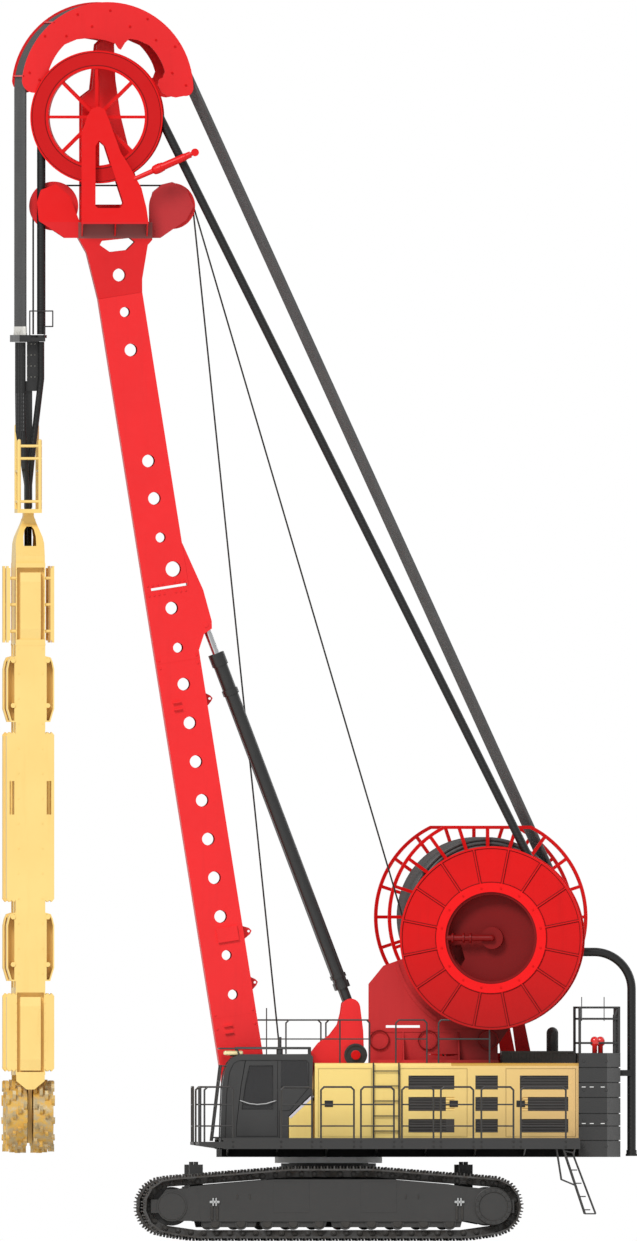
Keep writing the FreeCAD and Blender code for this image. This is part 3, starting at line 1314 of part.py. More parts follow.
def cutter_manifold():
    """Hose clamps, load plate, load bar and hose guard at the head of the cutter."""
    mud = mud_fall()
    band_centre = hydraulic_fall(0.0)
    clamp = turned(block(-115, 115, -520, 520, HOSE_END_Z - 140, HOSE_END_Z), HYDRAULIC_REEL_YAW,
                   V(band_centre.x, band_centre.y, 0))
    pieces = [clamp, fall(mud, HOSE_END_Z - 60, HOSE_END_Z, 112),
              block(-6200, -5680, -335, 300, HOSE_END_Z - 130, HOSE_END_Z - 50),
              block(-6034, -5794, -110, 110, 17200, HOSE_END_Z),
              block(-6090, -5780, -120, 110, 17000, 17200),
              block(CUTTER_X - 80, CUTTER_X + 80, -60, 60, 14660, 17010),
              block(CUTTER_X - 64, CUTTER_X + 64, -60, 60, LOAD_BAR_FOOT_Z, 14670)]
    guard_y = -322
    pieces.append(rail([V(-5990, guard_y, 18040), V(-5990, guard_y, 18600),
                        V(-5530, guard_y, 18600), V(-5530, guard_y, 18290),
                        V(-5700, guard_y, 18290), V(-5700, guard_y, 18040)], 13))
    for z in (17320, 17600, 17900):
        pieces += [drum(V(x, -118, z), ALONG_Y, 22, 20) for x in (-6005, -5825)]
    return fused(pieces)


def cutter_hoses():
    """Hoses that run from the clamps down into the neck of the cutter."""
    top = HOSE_END_Z - 145
    pieces = []
    for lateral, y in zip((-360, -180, 0, 180, 360), HOSE_NECK_YS):
        start = hydraulic_fall(lateral)
        pieces.append(rail([V(start.x, start.y, top), V(start.x, start.y, 16950),
                            V(start.x, y, 16200), V(CUTTER_X - 28, y, 15100),
                            V(CUTTER_X - 28, y, HEAD_TOP_Z + 20)], HOSE_R))
    mud = mud_fall()
    pieces.append(rail([V(mud.x, mud.y, HOSE_END_Z - 135), V(mud.x, mud.y, 17250),
                        V(CUTTER_X + 90, mud.y - 10, 15900), V(CUTTER_X, mud.y - 10, 15000),
                        V(CUTTER_X, mud.y - 10, HEAD_TOP_Z + 20)], 62))
    return group(pieces)


def bail():
    """Two tube hoops that guard the hoses over the neck."""
    x0 = CUTTER_X - 245
    x1 = CUTTER_X + 245
    opening = block(CUTTER_X - 100, CUTTER_X + 100, -430, 430, 14550, 14650)
    pieces = [block(x0, x1, -830, 830, 14560, 14640).cut(opening)]
    for y, top in ((-800, 16000), (800, 16300)):
        for x in (x0 + 35, x1 - 35):
            pieces.append(rod(V(x, y, 14600), V(x, y, top), 36))
            pieces.append(Part.makeSphere(36, V(x, y, top)))
        for z in (14790, 15650, 15900):
            pieces.append(rod(V(x0, y, z), V(x1, y, z), 28))
    for z in (14790, 15400):
        for x in (x0 + 35, x1 - 35):
            pieces.append(rod(V(x, -800, z), V(x, 800, z), 28))
    return pieces


def neck():
    """Hollow bell-shaped neck with an oval window, open at the top for the hoses."""
    x = CUTTER_X
    half = [(98, NECK_TOP_Z), (98, 14500), (120, 14430), (190, 14256), (260, 14080),
            (285, 13960), (290, HEAD_TOP_Z)]
    bell = [(x - a, z) for a, z in half] + [(x + a, z) for a, z in reversed(half)]
    inner_half = [(68, 14700), (68, 14500), (90, 14430), (160, 14250), (228, 14075),
                  (254, 13955), (258, HEAD_TOP_Z - 10)]
    inner = [(x - a, z) for a, z in inner_half] + [(x + a, z) for a, z in reversed(inner_half)]
    taper = [(-450, NECK_TOP_Z), (-450, 14350), (-1250, 13700), (-1250, HEAD_TOP_Z)]
    taper += [(-y, z) for y, z in reversed(taper)]
    core = [(-420, 14700), (-420, 14362), (-1205, 13724), (-1205, HEAD_TOP_Z - 10)]
    core += [(-y, z) for y, z in reversed(core)]
    body = side_plate(bell, -1300, 1300).common(front_plate(taper, x - 300, x + 300))
    body = body.cut(side_plate(inner, -1300, 1300).common(front_plate(core, x - 300, x + 300)))
    window = [(x - 125, 13900), (x - 125, 14080), (x - 95, 14230), (x - 50, 14290),
              (x + 50, 14290), (x + 95, 14230), (x + 125, 14080), (x + 125, 13900)]
    return body.cut(side_plate(window, -1300, 1300))


def cutter_section(z0, z1, wall):
    """Box section whose end faces are recessed round a bevelled cover."""
    x = CUTTER_X
    half_x = CUTTER_HALF_X
    half_y = CUTTER_HALF_Y
    body = hollow_block(x - half_x, x + half_x, -half_y, half_y, z0, z1, wall)
    recess = block(x - half_x + 25, x + half_x - 25, -half_y - 10, -half_y + 150, z0 + 60, z1 - 90)
    cover = front_plate([(-half_y + 140, z0 + 90), (-half_y + 20, z0 + 90), (-half_y - 20, z0 + 310),
                         (-half_y - 20, z1 - 375), (-half_y + 20, z1 - 190),
                         (-half_y + 140, z1 - 190)], x - 205, x + 205)
    web = block(x - half_x + 10, x + half_x - 10, -half_y + 135, -half_y + 165, z0 + 30, z1 - 30)
    for cut in both_sides(recess):
        body = body.cut(cut)
    return [body] + both_sides(cover) + both_sides(web)


def cutter_frame():
    """Main frame of the cutter: hoops, neck, head, column, side posts, foot and gear legs."""
    x = CUTTER_X
    half_x = CUTTER_HALF_X
    pieces = bail() + [neck(), block(x - 140, x + 140, -70, 70, LOAD_BAR_FOOT_Z - 60,
                                     LOAD_BAR_FOOT_Z)]
    pieces += cutter_section(HEAD_BOTTOM_Z, HEAD_TOP_Z, 40)
    pieces += cutter_section(FOOT_BOTTOM_Z, FOOT_TOP_Z, 60)
    low = FOOT_TOP_Z - 100
    high = HEAD_BOTTOM_Z + 100
    pieces.append(hollow_block(x - half_x, x + half_x, -300, 300, low, high, 30))
    pieces += both_sides(hollow_block(x - half_x, x + half_x, -CUTTER_HALF_Y, -CUTTER_HALF_Y + 240,
                                      low, high, 30))
    lip = block(x - half_x - 6, x + half_x + 6, -CUTTER_HALF_Y - 6, -CUTTER_HALF_Y + 200,
                HEAD_BOTTOM_Z - 20, HEAD_BOTTOM_Z + 20)
    pieces += both_sides(lip)
    shield = [(x - 285, FOOT_BOTTOM_Z + 10), (x - 285, 3200), (x - 77, 3030), (x + 77, 3030),
              (x + 285, 3200), (x + 285, FOOT_BOTTOM_Z + 10)]
    pieces += both_sides(side_plate(shield, -CUTTER_HALF_Y, -CUTTER_HALF_Y + 60))
    y = -CUTTER_WHEEL_Y
    leg = front_plate([(y - 330, FOOT_BOTTOM_Z + 10), (y + 330, FOOT_BOTTOM_Z + 10),
                       (y + 230, 2500), (y + 120, 1960), (y - 120, 1960), (y - 230, 2500)],
                      x - 41, x + 41)
    bore = drum(V(x, y, CUTTER_WHEEL_Z), ALONG_X, CUTTER_HUB_R + PIN_GAP, 200)
    pieces += both_sides(leg.cut(bore))
    return fused(pieces)


def guide_rail(z0, z1, pins):
    """Upper guide plate on its standoff pins, on the rear left corner of the cutter."""
    x = CUTTER_X
    pieces = [block(x + CUTTER_GUIDE_X - 40, x + CUTTER_GUIDE_X, -1300, -720, z0, z1),
              block(x + CUTTER_GUIDE_X - 75, x + CUTTER_GUIDE_X - 30, -1300, -1260, z0 + 40, z1 - 40)]
    for z in pins:
        for y in (-1230, -800):
            pieces.append(rod(V(x + CUTTER_HALF_X, y, z), V(x + CUTTER_GUIDE_X - 20, y, z), 32))
    return fused(pieces)


def guide_flap(z0, z1):
    """Steering flap with rounded ends and its hinge tubes."""
    x = CUTTER_X + CUTTER_HALF_X
    reach = CUTTER_GUIDE_X - CUTTER_HALF_X
    outline = [(x, z0), (x + 100, z0), (x + reach - 20, z0 + 200), (x + reach, z0 + 260),
               (x + reach, z1 - 260), (x + reach - 30, z1 - 120), (x + 110, z1 - 30), (x, z1)]
    shell = side_plate(outline, -1300, -720).cut(side_plate(inset_outline(outline, 28), -1310, -700))
    back = side_plate(outline, -1020, -1000)
    pieces = [shell, back]
    for z in (z0 + 330, z1 - 90):
        pieces.append(drum(V(x + 52, -1010, z), ALONG_Y, 48, 620))
    return fused(pieces)


def guide_panel(z0, z1, slot):
    """Side panel box with a see-through slot across it."""
    x = CUTTER_X + CUTTER_HALF_X
    reach = CUTTER_GUIDE_X - CUTTER_HALF_X
    outline = [(x, z0 + 40), (x + 40, z0), (x + 90, z0 + 40), (x + 130, z0), (x + reach, z0 + 60),
               (x + reach, z1 - 60), (x + 130, z1), (x + 90, z1 - 40), (x + 40, z1), (x, z1 - 40)]
    pieces = [side_plate(outline, y, y + 25) for y in (-1300, -1020, -745)]
    pieces.append(block(x + reach - 30, x + reach, -1300, -720, z0 + 80, z1 - 80))
    panel = fused(pieces)
    if slot:
        panel = panel.cut(block(x + 30, x + 120, -1310, -700, slot[0], slot[1]))
    return panel


def cutter_guides():
    """Guide rails, steering flaps and side panels on the four long edges."""
    pieces = [guide_rail(11970, 13500, (13256, 12726, 12196)), guide_flap(10380, 11700),
              guide_panel(6780, 10180, (8530, 9200)), guide_flap(5200, 6570),
              guide_panel(3390, 4960, None)]
    rear = pieces + [mirrored(piece) for piece in pieces]
    return group(rear + [piece.mirror(V(CUTTER_X, 0, 0), ALONG_X) for piece in rear])


def cutter_wheel():
    """Pair of toothed drums on one hub, about the origin, axis along X."""
    pieces = [drum(ORIGIN, ALONG_X, CUTTER_HUB_R, 500)]
    claw = [(-70, CUTTER_DRUM_R - 20), (62, CUTTER_DRUM_R - 20), (52, CUTTER_DRUM_R + 60),
            (92, CUTTER_WHEEL_R), (20, CUTTER_WHEEL_R - 25), (-45, CUTTER_DRUM_R + 50)]
    for side in (-1, 1):
        pieces.append(drum(V(side * 260, 0, 0), ALONG_X, CUTTER_DRUM_R, 400))
        for row, x in enumerate((105, 215, 325, 455)):
            for i in range(10):
                tooth = front_plate(claw, side * x - 32, side * x + 32)
                tooth.rotate(ORIGIN, ALONG_X, i * 36 + row * 9)
                pieces.append(tooth)
    return fused(pieces)


export("cutter_manifold", cutter_manifold())
export("cutter_hoses", cutter_hoses())
export("cutter_frame", cutter_frame())
export("cutter_guides", cutter_guides())
left_wheel = turned(cutter_wheel(), 0, V(CUTTER_X, -CUTTER_WHEEL_Y, CUTTER_WHEEL_Z))
export("cutter_wheel_left", left_wheel)
export("cutter_wheel_right", mirrored(left_wheel))
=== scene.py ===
# %% [markdown]
# # Dressing a trench cutter
# A trench cutter is a tall crawler machine that digs deep narrow slots for walls in the ground.
# Its solid parts come packed from CAD, at real size. This file keeps those solids where they
# are, gives each its finish, and adds the small things a CAD model leaves out: hose turns,
# bolts, crimped hose ends, latches, a driver's seat.
# The frame is loaded first, because every later piece takes its place from it.

# %% Load the fixed frame
import json
import math

import bpy
import bmesh
from mathutils import Matrix, Vector

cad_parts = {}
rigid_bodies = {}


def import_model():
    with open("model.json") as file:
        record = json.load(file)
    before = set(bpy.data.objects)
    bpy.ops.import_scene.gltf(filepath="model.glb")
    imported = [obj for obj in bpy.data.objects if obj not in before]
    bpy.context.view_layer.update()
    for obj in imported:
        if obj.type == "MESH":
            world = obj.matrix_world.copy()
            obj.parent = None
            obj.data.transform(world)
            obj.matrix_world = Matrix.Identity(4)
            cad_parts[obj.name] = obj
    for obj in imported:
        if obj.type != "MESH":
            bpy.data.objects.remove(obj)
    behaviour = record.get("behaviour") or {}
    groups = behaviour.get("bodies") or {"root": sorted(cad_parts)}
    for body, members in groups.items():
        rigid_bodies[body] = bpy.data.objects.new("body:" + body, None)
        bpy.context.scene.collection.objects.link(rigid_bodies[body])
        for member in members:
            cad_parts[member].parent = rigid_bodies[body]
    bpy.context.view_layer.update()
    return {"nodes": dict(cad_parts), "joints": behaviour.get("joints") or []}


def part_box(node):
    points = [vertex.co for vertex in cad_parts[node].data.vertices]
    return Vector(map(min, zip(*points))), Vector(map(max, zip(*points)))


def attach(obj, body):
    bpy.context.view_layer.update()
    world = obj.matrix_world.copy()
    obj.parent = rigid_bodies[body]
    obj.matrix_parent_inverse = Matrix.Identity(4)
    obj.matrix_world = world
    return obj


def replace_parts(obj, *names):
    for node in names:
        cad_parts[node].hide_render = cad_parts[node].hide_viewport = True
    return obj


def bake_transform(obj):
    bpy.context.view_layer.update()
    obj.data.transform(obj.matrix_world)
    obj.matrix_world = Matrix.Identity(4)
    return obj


for leftover in list(bpy.data.objects):
    bpy.data.objects.remove(leftover)
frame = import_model()
nodes = frame["nodes"]


# %% [markdown]
# ## Camera
# A machine like this is drawn straight from the side, so that heights and reaches can be read
# off. An orthographic camera does that: it has no vanishing point. It is turned by two degrees,
# so the far reel just shows beside the near one. The whole mast fits a frame 24.82 m tall.

# %% A level side camera
VIEW_YAW = math.radians(2.06)
VIEW_HEIGHT = 24.82
VIEW_CENTRE = Vector((-0.20, 0.0, VIEW_HEIGHT / 2))
sight = Vector((math.sin(VIEW_YAW), math.cos(VIEW_YAW), 0.0))

camera_data = bpy.data.cameras.new("side_camera")
camera_data.type = "ORTHO"
camera_data.ortho_scale = VIEW_HEIGHT
camera_data.clip_end = 200.0
camera = bpy.data.objects.new("side_camera", camera_data)
camera.location = VIEW_CENTRE - sight * 45.0
camera.rotation_euler = sight.to_track_quat("-Z", "Y").to_euler()
bpy.context.scene.collection.objects.link(camera)
bpy.context.scene.camera = camera
print("camera at", tuple(round(v, 2) for v in camera.location))


# %% [markdown]
# ## Helpers for nodes and colours
# Every finish below is a small tree of shader nodes. Writing each node by hand takes four or
# five lines, so one helper adds a node, sets what it is told and links what it is given, and
# the steps that most finishes share have a short function each. Colours are written the way a
# paint chart gives them, as sRGB hex values. Blender works in linear light, so one function
# turns them.

# %% Helpers for nodes and colours
def add(tree, kind, inputs=None, **settings):
    """Add one node. inputs maps a socket to a plain value or to another node's output."""
    made = tree.nodes.new(kind)
    for name, value in settings.items():
        setattr(made, name, value)
    for socket, value in (inputs or {}).items():
        if isinstance(value, bpy.types.NodeSocket):
            tree.links.new(value, made.inputs[socket])
        else:
            made.inputs[socket].default_value = value
    return made


def colour(code):
    """An sRGB hex value as linear RGBA."""
    parts = [int(code[i:i + 2], 16) / 255 for i in (1, 3, 5)]
    return [c / 12.92 if c <= 0.04045 else ((c + 0.055) / 1.055) ** 2.4 for c in parts] + [1.0]


def calc(tree, operation, *values):
    """What a Math node makes of plain values or sockets."""
    return add(tree, "ShaderNodeMath", dict(enumerate(values)), operation=operation).outputs[0]


def remap(tree, value, to_low, to_high, low=0.0, high=1.0):
    """A value from low to high, moved to between to_low and to_high."""
    return add(tree, "ShaderNodeMapRange", {"Value": value, "From Min": low, "From Max": high,
                                            "To Min": to_low, "To Max": to_high}).outputs[0]


def mix(tree, factor, first, second):
    """A colour between two, each a socket or a hex value."""
    first, second = (colour(c) if isinstance(c, str) else c for c in (first, second))
    return add(tree, "ShaderNodeMix", {"Factor": factor, "A": first, "B": second},
               data_type="RGBA").outputs["Result"]


def noise(tree, place, scale, detail, roughness=0.5):
    return add(tree, "ShaderNodeTexNoise", {"Vector": place, "Scale": scale, "Detail": detail,
                                            "Roughness": roughness}).outputs["Fac"]


def bump(tree, height, strength, distance, under=None):
    """A bumped normal, on top of another one if it is given."""
    inputs = {"Height": height, "Strength": strength, "Distance": distance}
    if under:
        inputs["Normal"] = under
    return add(tree, "ShaderNodeBump", inputs).outputs[0]


def new_material(name):
    """A material with an empty tree, the tree, and the socket that gives places in metres."""
    material = bpy.data.materials.new(name)
    material.use_nodes = True
    tree = material.node_tree
    tree.nodes.clear()
    return material, tree, add(tree, "ShaderNodeTexCoord").outputs["Object"]


def surface(material, inputs):
    """Close a material with the main shader, which takes these inputs."""
    tree = material.node_tree
    shader = add(tree, "ShaderNodeBsdfPrincipled", inputs)
    add(tree, "ShaderNodeOutputMaterial", {"Surface": shader.outputs[0]})
    print("finish:", material.name)
    return material


print("signal red in linear light:", [round(c, 3) for c in colour("#F23A36")])


# %% [markdown]
# ## Sprayed paint on welded steel
# Most of the machine is sheet and plate, welded, blasted and sprayed with two-pack paint. Such
# paint is never quite even: it varies a little from panel to panel, the plate under it is
# slightly wavy, spray leaves a fine orange-peel skin, and rain draws faint streaks down it.
# Close to the ground it gathers dust. Each of those is one noise texture on Object coordinates,
# which are metres here, so every scale below comes from a real size.
# Some solids carry a second colour. Many of these are painted shade or painted highlight, such as the
# dark between the louvre slats in the yellow doors, which is painted shade. A zone says where: a ball
# is a centre and a radius, a box is its two corners, and a slope is an axis and the two places
# between which the second colour grows from nothing to full.

# %% Paint
ORANGE_PEEL = 1 / 0.012      # real peel is about 2 mm; drawn at 12 mm so that it shows
PLATE_WAVE = 1 / 0.9         # welded plate bows over about a metre
PANEL_DRIFT = 1 / 1.25       # the tone drifts over about a metre
STREAKS = (7.0, 7.0, 0.5)    # streaks are about 140 mm wide and two metres tall
DUST_GRAIN = 1 / 0.2         # dust lies in patches of about 200 mm
DUST_TOP = 2.6               # metres above the ground where dust has gone


def inside(tree, place, zone):
    """A socket that is 1 inside a zone and 0 outside it, or between them on a slope."""
    first, second = zone
    axes = add(tree, "ShaderNodeSeparateXYZ", {"Vector": place}).outputs
    if isinstance(first, str):
        return remap(tree, axes[first], 0.0, 1.0, *second)
    if isinstance(second, float):
        away = add(tree, "ShaderNodeVectorMath", {0: place, 1: first}, operation="DISTANCE")
        return calc(tree, "LESS_THAN", away.outputs["Value"], second)
    fits = [calc(tree, "COMPARE", axes[i], (first[i] + second[i]) / 2,
                 (second[i] - first[i]) / 2) for i in range(3)]
    return calc(tree, "MULTIPLY", calc(tree, "MULTIPLY", *fits[:2]), fits[2])


def paint(name, code, shade, roughness=0.42, dust=0.18, dust_code="#9A8F80", coat=0.25,
          shine=0.5, zones=()):
    """Sprayed paint. shade is its colour in a thin or dirty place, zones its second colours."""
    material, tree, place = new_material(name)
    height = add(tree, "ShaderNodeSeparateXYZ", {"Vector": place}).outputs["Z"]
    tall = add(tree, "ShaderNodeMapping", {"Vector": place, "Scale": STREAKS})
    thin = remap(tree, noise(tree, place, PANEL_DRIFT, 3.0), 0.0, 0.35, 0.35, 0.75)
    streaks = remap(tree, noise(tree, tall.outputs[0], 1.0, 5.0, 0.6), 0.0, 0.3, 0.55, 0.8)
    tone = mix(tree, calc(tree, "ADD", thin, streaks), code, shade)
    for zone, second in zones:
        tone = mix(tree, inside(tree, place, zone), tone, second)
    grain = noise(tree, place, DUST_GRAIN, 6.0, 0.7)
    low = remap(tree, height, 0.0, dust, DUST_TOP, 0.0)
    bowed = bump(tree, noise(tree, place, PLATE_WAVE, 1.0), 0.5, 0.012)
    return surface(material, {
        "Base Color": mix(tree, calc(tree, "MULTIPLY", low, grain), tone, dust_code),
        "Roughness": remap(tree, grain, roughness - 0.07, roughness + 0.1, 0.3, 0.7),
        "Specular IOR Level": shine, "Coat Weight": coat, "Coat Roughness": 0.2,
        "Normal": bump(tree, noise(tree, place, ORANGE_PEEL, 2.0), 0.25, 0.0015, bowed)})


MUD_REEL_CENTRE = (3.23, -1.35, 6.06)
MUD_WHEEL_CENTRE = Vector((-4.64, -0.35, 22.48))
LOUVRE_ROWS = [(3.03, 3.31), (2.60, 2.88), (2.17, 2.44)]
# The dark in the door louvres is painted shade between the slats.
louvre_shade = [(((x0 + late * (row == 1), y0, z0), (x1 - early * (row == 1), y0 + 0.085, z1)),
            "#3A3735") for y0 in (-1.60, 1.515)
           for x0, x1, late, early in ((1.544, 2.464, 0.0, 0.17), (2.884, 3.334, 0.0, 0.0),
                                       (3.774, 4.744, 0.16, 0.0))
           for row, (z0, z1) in enumerate(LOUVRE_ROWS)]

MATT_RED = {"roughness": 0.45, "coat": 0.0, "shine": 0.2}
DEEP_RED = {"roughness": 0.5, "coat": 0.0, "shine": 0.2}
PLAIN_GREY = {"roughness": 0.5, "coat": 0.1, "dust": 0.06}
signal_red = paint("signal_red_paint", "#F32024", "#DE1C1F", coat=0.15, shine=0.35)
reel_red = paint("reel_red_paint", "#DE0608", "#BC0507", **MATT_RED)
# The reel stands are drawn in a darker red than the reels as painted shade, and darker still towards
# the rear, also painted shade. Their parts beyond Y -0.60 are a purer red.
stand_red_in_shade = paint("stand_red_painted_shade", "#C62E30", "#B02628", **DEEP_RED,
                  zones=[(("X", (1.6, 3.5)), "#5A1614"),
                         (((-9.0, -0.60, 0.0), (9.0, 5.0, 30.0)), "#BC1014")])
# A dark red that stands for painted shade in creases: the rim lines of the mud wheel and reel, the
# seams beside the reel's ribs and the rims of the stand's ports.
painted_shade_red = paint("shaded_red_paint", "#7E0A0B", "#6A0809", **DEEP_RED)
# On the mud reel, the recessed disc in the middle is drawn maroon as painted shade, and the raised
# hub ring round it a brighter red as painted highlight. The reel also grows darker towards the
# bottom.
mud_reel_red = paint("mud_reel_red_paint", "#DE0608", "#BC0507", **MATT_RED,
                     zones=[(("Z", (6.4, 4.2)), "#B20C0C"),
                            ((MUD_REEL_CENTRE, 1.14), "#F00A0E"),
                            ((MUD_REEL_CENTRE, 0.945), "#7E0A0B")])
# On the mud wheel, the flange inside the rim is drawn darker as painted shade; the middle inside 1.03
# m keeps a brighter red.
wheel_red = paint("hose_wheel_red_paint", "#E8080A", "#D00608", **MATT_RED,
                  zones=[((MUD_WHEEL_CENTRE, 1.29), "#CC0C0F"),
                         ((MUD_WHEEL_CENTRE, 1.03), "#E20A0C")])
# On the mast head, the band under the deck's overhang is drawn dull brown-red as painted shade. Above
# 20.38 m the red is purer, and a guard at the rear is a duller red.
head_red = paint("mast_head_red_paint", "#E21A1E", "#CC1619", coat=0.1, shine=0.3,
                 zones=[(((-10.0, -5.0, 20.38), (10.0, 5.0, 27.0)), "#E8080A"),
                        (((-3.60, -1.0, 20.05), (-2.60, 1.0, 21.30)), "#C23034"),
                        (((-5.02, -0.41, 20.05), (-3.53, 0.41, 20.375)), "#8A4A48")])
# On the yellow house, the ochre band along the roof edge is painted shade, and so is the dark of the
# louvre zones. The yellow grows duller towards the rear.
house_yellow = paint("house_yellow_paint", "#FFE186", "#F8D273", roughness=0.36, dust=0.08,
                     zones=[(("X", (1.0, 5.0)), "#E6BE7C"),
                            (((2.4, -1.60, 3.50), (4.95, -1.40, 3.57)), "#CFA148")] + louvre_shade)
cutter_yellow = paint("cutter_yellow_paint", "#FCDA84", "#EFC56A", roughness=0.45, dust=0.5,
                      dust_code="#A88B52")
dark_grey = paint("dark_grey_paint", "#2F2F2F", "#292929", **PLAIN_GREY)
weight_grey = paint("counterweight_grey_paint", "#303030", "#2A2A2A", **PLAIN_GREY,
                    zones=[(((5.52, -5.0, 0.0), (9.0, 5.0, 9.0)), "#4E4E4E")])
cab_grey = paint("cab_grey_paint", "#373737", "#303030", roughness=0.38, coat=0.3, dust=0.03,
                 zones=[(((-1.86, -1.70, 2.70), (-1.09, -1.562, 2.83)), "#BDBDBD")])
black_paint = paint("black_paint", "#262626", "#1C1C1C", roughness=0.35, coat=0.3)
# The main frame is dark paint drawn near-black as painted shade, for the shade under the house.
frame_black_in_shade = paint("frame_black_painted_shade", "#060606", "#030303", roughness=0.6, dust=0.0,
                   coat=0.0, shine=0.15)
railing_grey = paint("railing_grey_paint", "#343434", "#2A2A2A", roughness=0.4, dust=0.05)


# %% [markdown]
# ## Bare and cast metal
# The track shoes are cast manganese steel, dark from heat treatment, polished where they meet the
# ground and brown in the corners. The slewing ring is machined, and is drawn near-white as painted
# light, so that it shows light grey in the shade under the house. The cutter's teeth start yellow and
# wear to bare steel. Metals take their colour through Base Color. Clean chrome and zinc have Metallic
# 1. Scale, grease, rust and worn paint are not metals, so what they cover has less. The slewing ring
# has none, which keeps it plain light grey in its shade.

# %% Metals
def metal(name, code, second, scale, share=0.5, roughness=0.4, metallic=1.0, grit=0.02,
          second_metallic=0.0):
    """Bare metal with patches of a second finish. scale is patches per metre."""
    material, tree, place = new_material(name)
    patch = remap(tree, noise(tree, place, scale, 6.0, 0.65), 0.0, 1.0, share - 0.06,
                  share + 0.06)
    pits = add(tree, "ShaderNodeTexVoronoi", {"Vector": place, "Scale": 1 / grit})
    return surface(material, {
        "Base Color": mix(tree, patch, code, second),
        "Metallic": remap(tree, patch, metallic, second_metallic),
        "Roughness": remap(tree, patch, roughness, roughness + 0.25),
        "Normal": bump(tree, pits.outputs["Distance"], 0.35, grit * 0.12)})


shoe_steel = metal("cast_shoe_steel", "#525150", "#3C3834", scale=6.0, metallic=0.5,
                   roughness=0.5, grit=0.03)
# The slewing ring is drawn near-white, painted light, so that it shows light grey in the shade under
# the house.
lit_ring_steel = metal("machined_ring_steel_painted_light", "#FAFAFA", "#E6E6E4", scale=3.0, share=0.62,
                   metallic=0.0, roughness=0.4)
tooth_steel = metal("worn_tooth_steel", "#C6B288", "#DDB052", scale=5.0, share=0.5,
                    metallic=0.4, roughness=0.42, grit=0.025)
crimp_steel = metal("bright_crimp_steel", "#EDEBE4", "#C9C6BC", scale=9.0, share=0.6,
                    roughness=0.3, metallic=0.4, second_metallic=0.3)
rod_chrome = metal("hard_chrome", "#D8DADC", "#B9BCC0", scale=2.0, share=0.7, roughness=0.1,
                   second_metallic=1.0, grit=0.2)
bolt_steel = metal("zinc_plated_bolt", "#B9B7AE", "#8F8C82", scale=14.0, share=0.6,
                   roughness=0.35, second_metallic=0.8)
engine_iron = metal("engine_cast_iron", "#6A6D6E", "#4F4A45", scale=4.0, metallic=0.6,
                    roughness=0.55)


# %% [markdown]
# ## Hose rubber and wire rope
# The hoses have a wrapped outer cover: a cloth tape leaves a fine band pattern every 30 mm or
# so across the hose while it is cured, drawn at 60 to 80 mm so that it shows. The bands run
# level on the hanging hoses and at the slope of the long runs, so a Mapping node turns the
# pattern. The wire rope is greased steel. Its strands cross it every 60 mm, drawn at 120 mm.

# %% Rubber and rope
BANDS_APART = 2 * math.pi / 20   # metres between the bands of a wave texture of scale 1


def banded(name, code, second, pitch, turn=0.0, roughness=0.5, depth=0.003, metallic=0.0):
    """A dark round line with fine bands across it, pitch metres apart, tipped by turn."""
    material, tree, place = new_material(name)
    tipped = add(tree, "ShaderNodeMapping", {"Vector": place, "Rotation": (0.0, turn, 0.0)})
    bands = add(tree, "ShaderNodeTexWave", {"Vector": tipped.outputs[0],
                                            "Scale": BANDS_APART / pitch,
                                            "Distortion": 0.2},
                bands_direction="Z", wave_profile="SIN")
    smudge = noise(tree, place, 2.5, 5.0)
    return surface(material, {
        "Base Color": mix(tree, smudge, code, second), "Metallic": metallic,
        "Roughness": remap(tree, smudge, roughness - 0.12, roughness + 0.12),
        "Normal": bump(tree, bands.outputs["Fac"], 0.5, depth)})


RUN_SLOPE = math.radians(25.0)
hose_grey = banded("grey_hose_cover", "#525252", "#464646", pitch=0.06)
drop_grey = banded("grey_hose_cover_hanging", "#525252", "#464646", pitch=0.06)
run_grey = banded("grey_hose_cover_on_the_slope", "#585858", "#474747", pitch=0.06,
                  turn=-RUN_SLOPE)
mud_black = banded("black_mud_hose_cover", "#121212", "#121212", pitch=0.06)
hose_black = banded("black_hose_cover", "#161616", "#0E0E0E", pitch=0.08, roughness=0.38)
wire_rope = banded("greased_wire_rope", "#3A3A38", "#2A2927", pitch=0.12, roughness=0.45,
                   metallic=0.6, depth=0.006)


# %% [markdown]
# ## Cab glass and woven seat cloth
# The cab windows are dark tinted safety glass: smooth, nearly black from outside, and only the
# driver's seat shows faintly behind them. The seat cover is a coarse woven cloth with a soft
# sheen; its threads cross every 4 mm, drawn at 12 mm here.

# %% Glass and cloth
THREADS = 26.0               # this scale crosses the threads every 12 mm


def tinted_glass(name):
    material, tree, place = new_material(name)
    film = noise(tree, place, 3.0, 4.0)
    return surface(material, {
        "Base Color": mix(tree, film, "#39393A", "#414142"), "IOR": 1.5,
        "Roughness": remap(tree, film, 0.03, 0.12), "Transmission Weight": 0.35})


def woven_cloth(name, code, second):
    material, tree, place = new_material(name)
    warp, weft = [add(tree, "ShaderNodeTexWave", {"Vector": place, "Scale": THREADS},
                      bands_direction=way).outputs["Fac"] for way in "YZ"]
    weave = calc(tree, "MULTIPLY", warp, weft)
    return surface(material, {
        "Base Color": mix(tree, weave, code, second), "Roughness": 0.85, "Sheen Weight": 0.3,
        "Normal": bump(tree, weave, 0.4, 0.002)})


cab_glass = tinted_glass("tinted_safety_glass")
seat_cloth = woven_cloth("woven_seat_cloth", "#24262A", "#3A3D44")


# %% [markdown]
# ## Give every CAD solid its finish
# The solids keep their shapes; only their material slots change. A table from finish to nodes
# says at a glance what is painted, cast or rubber.

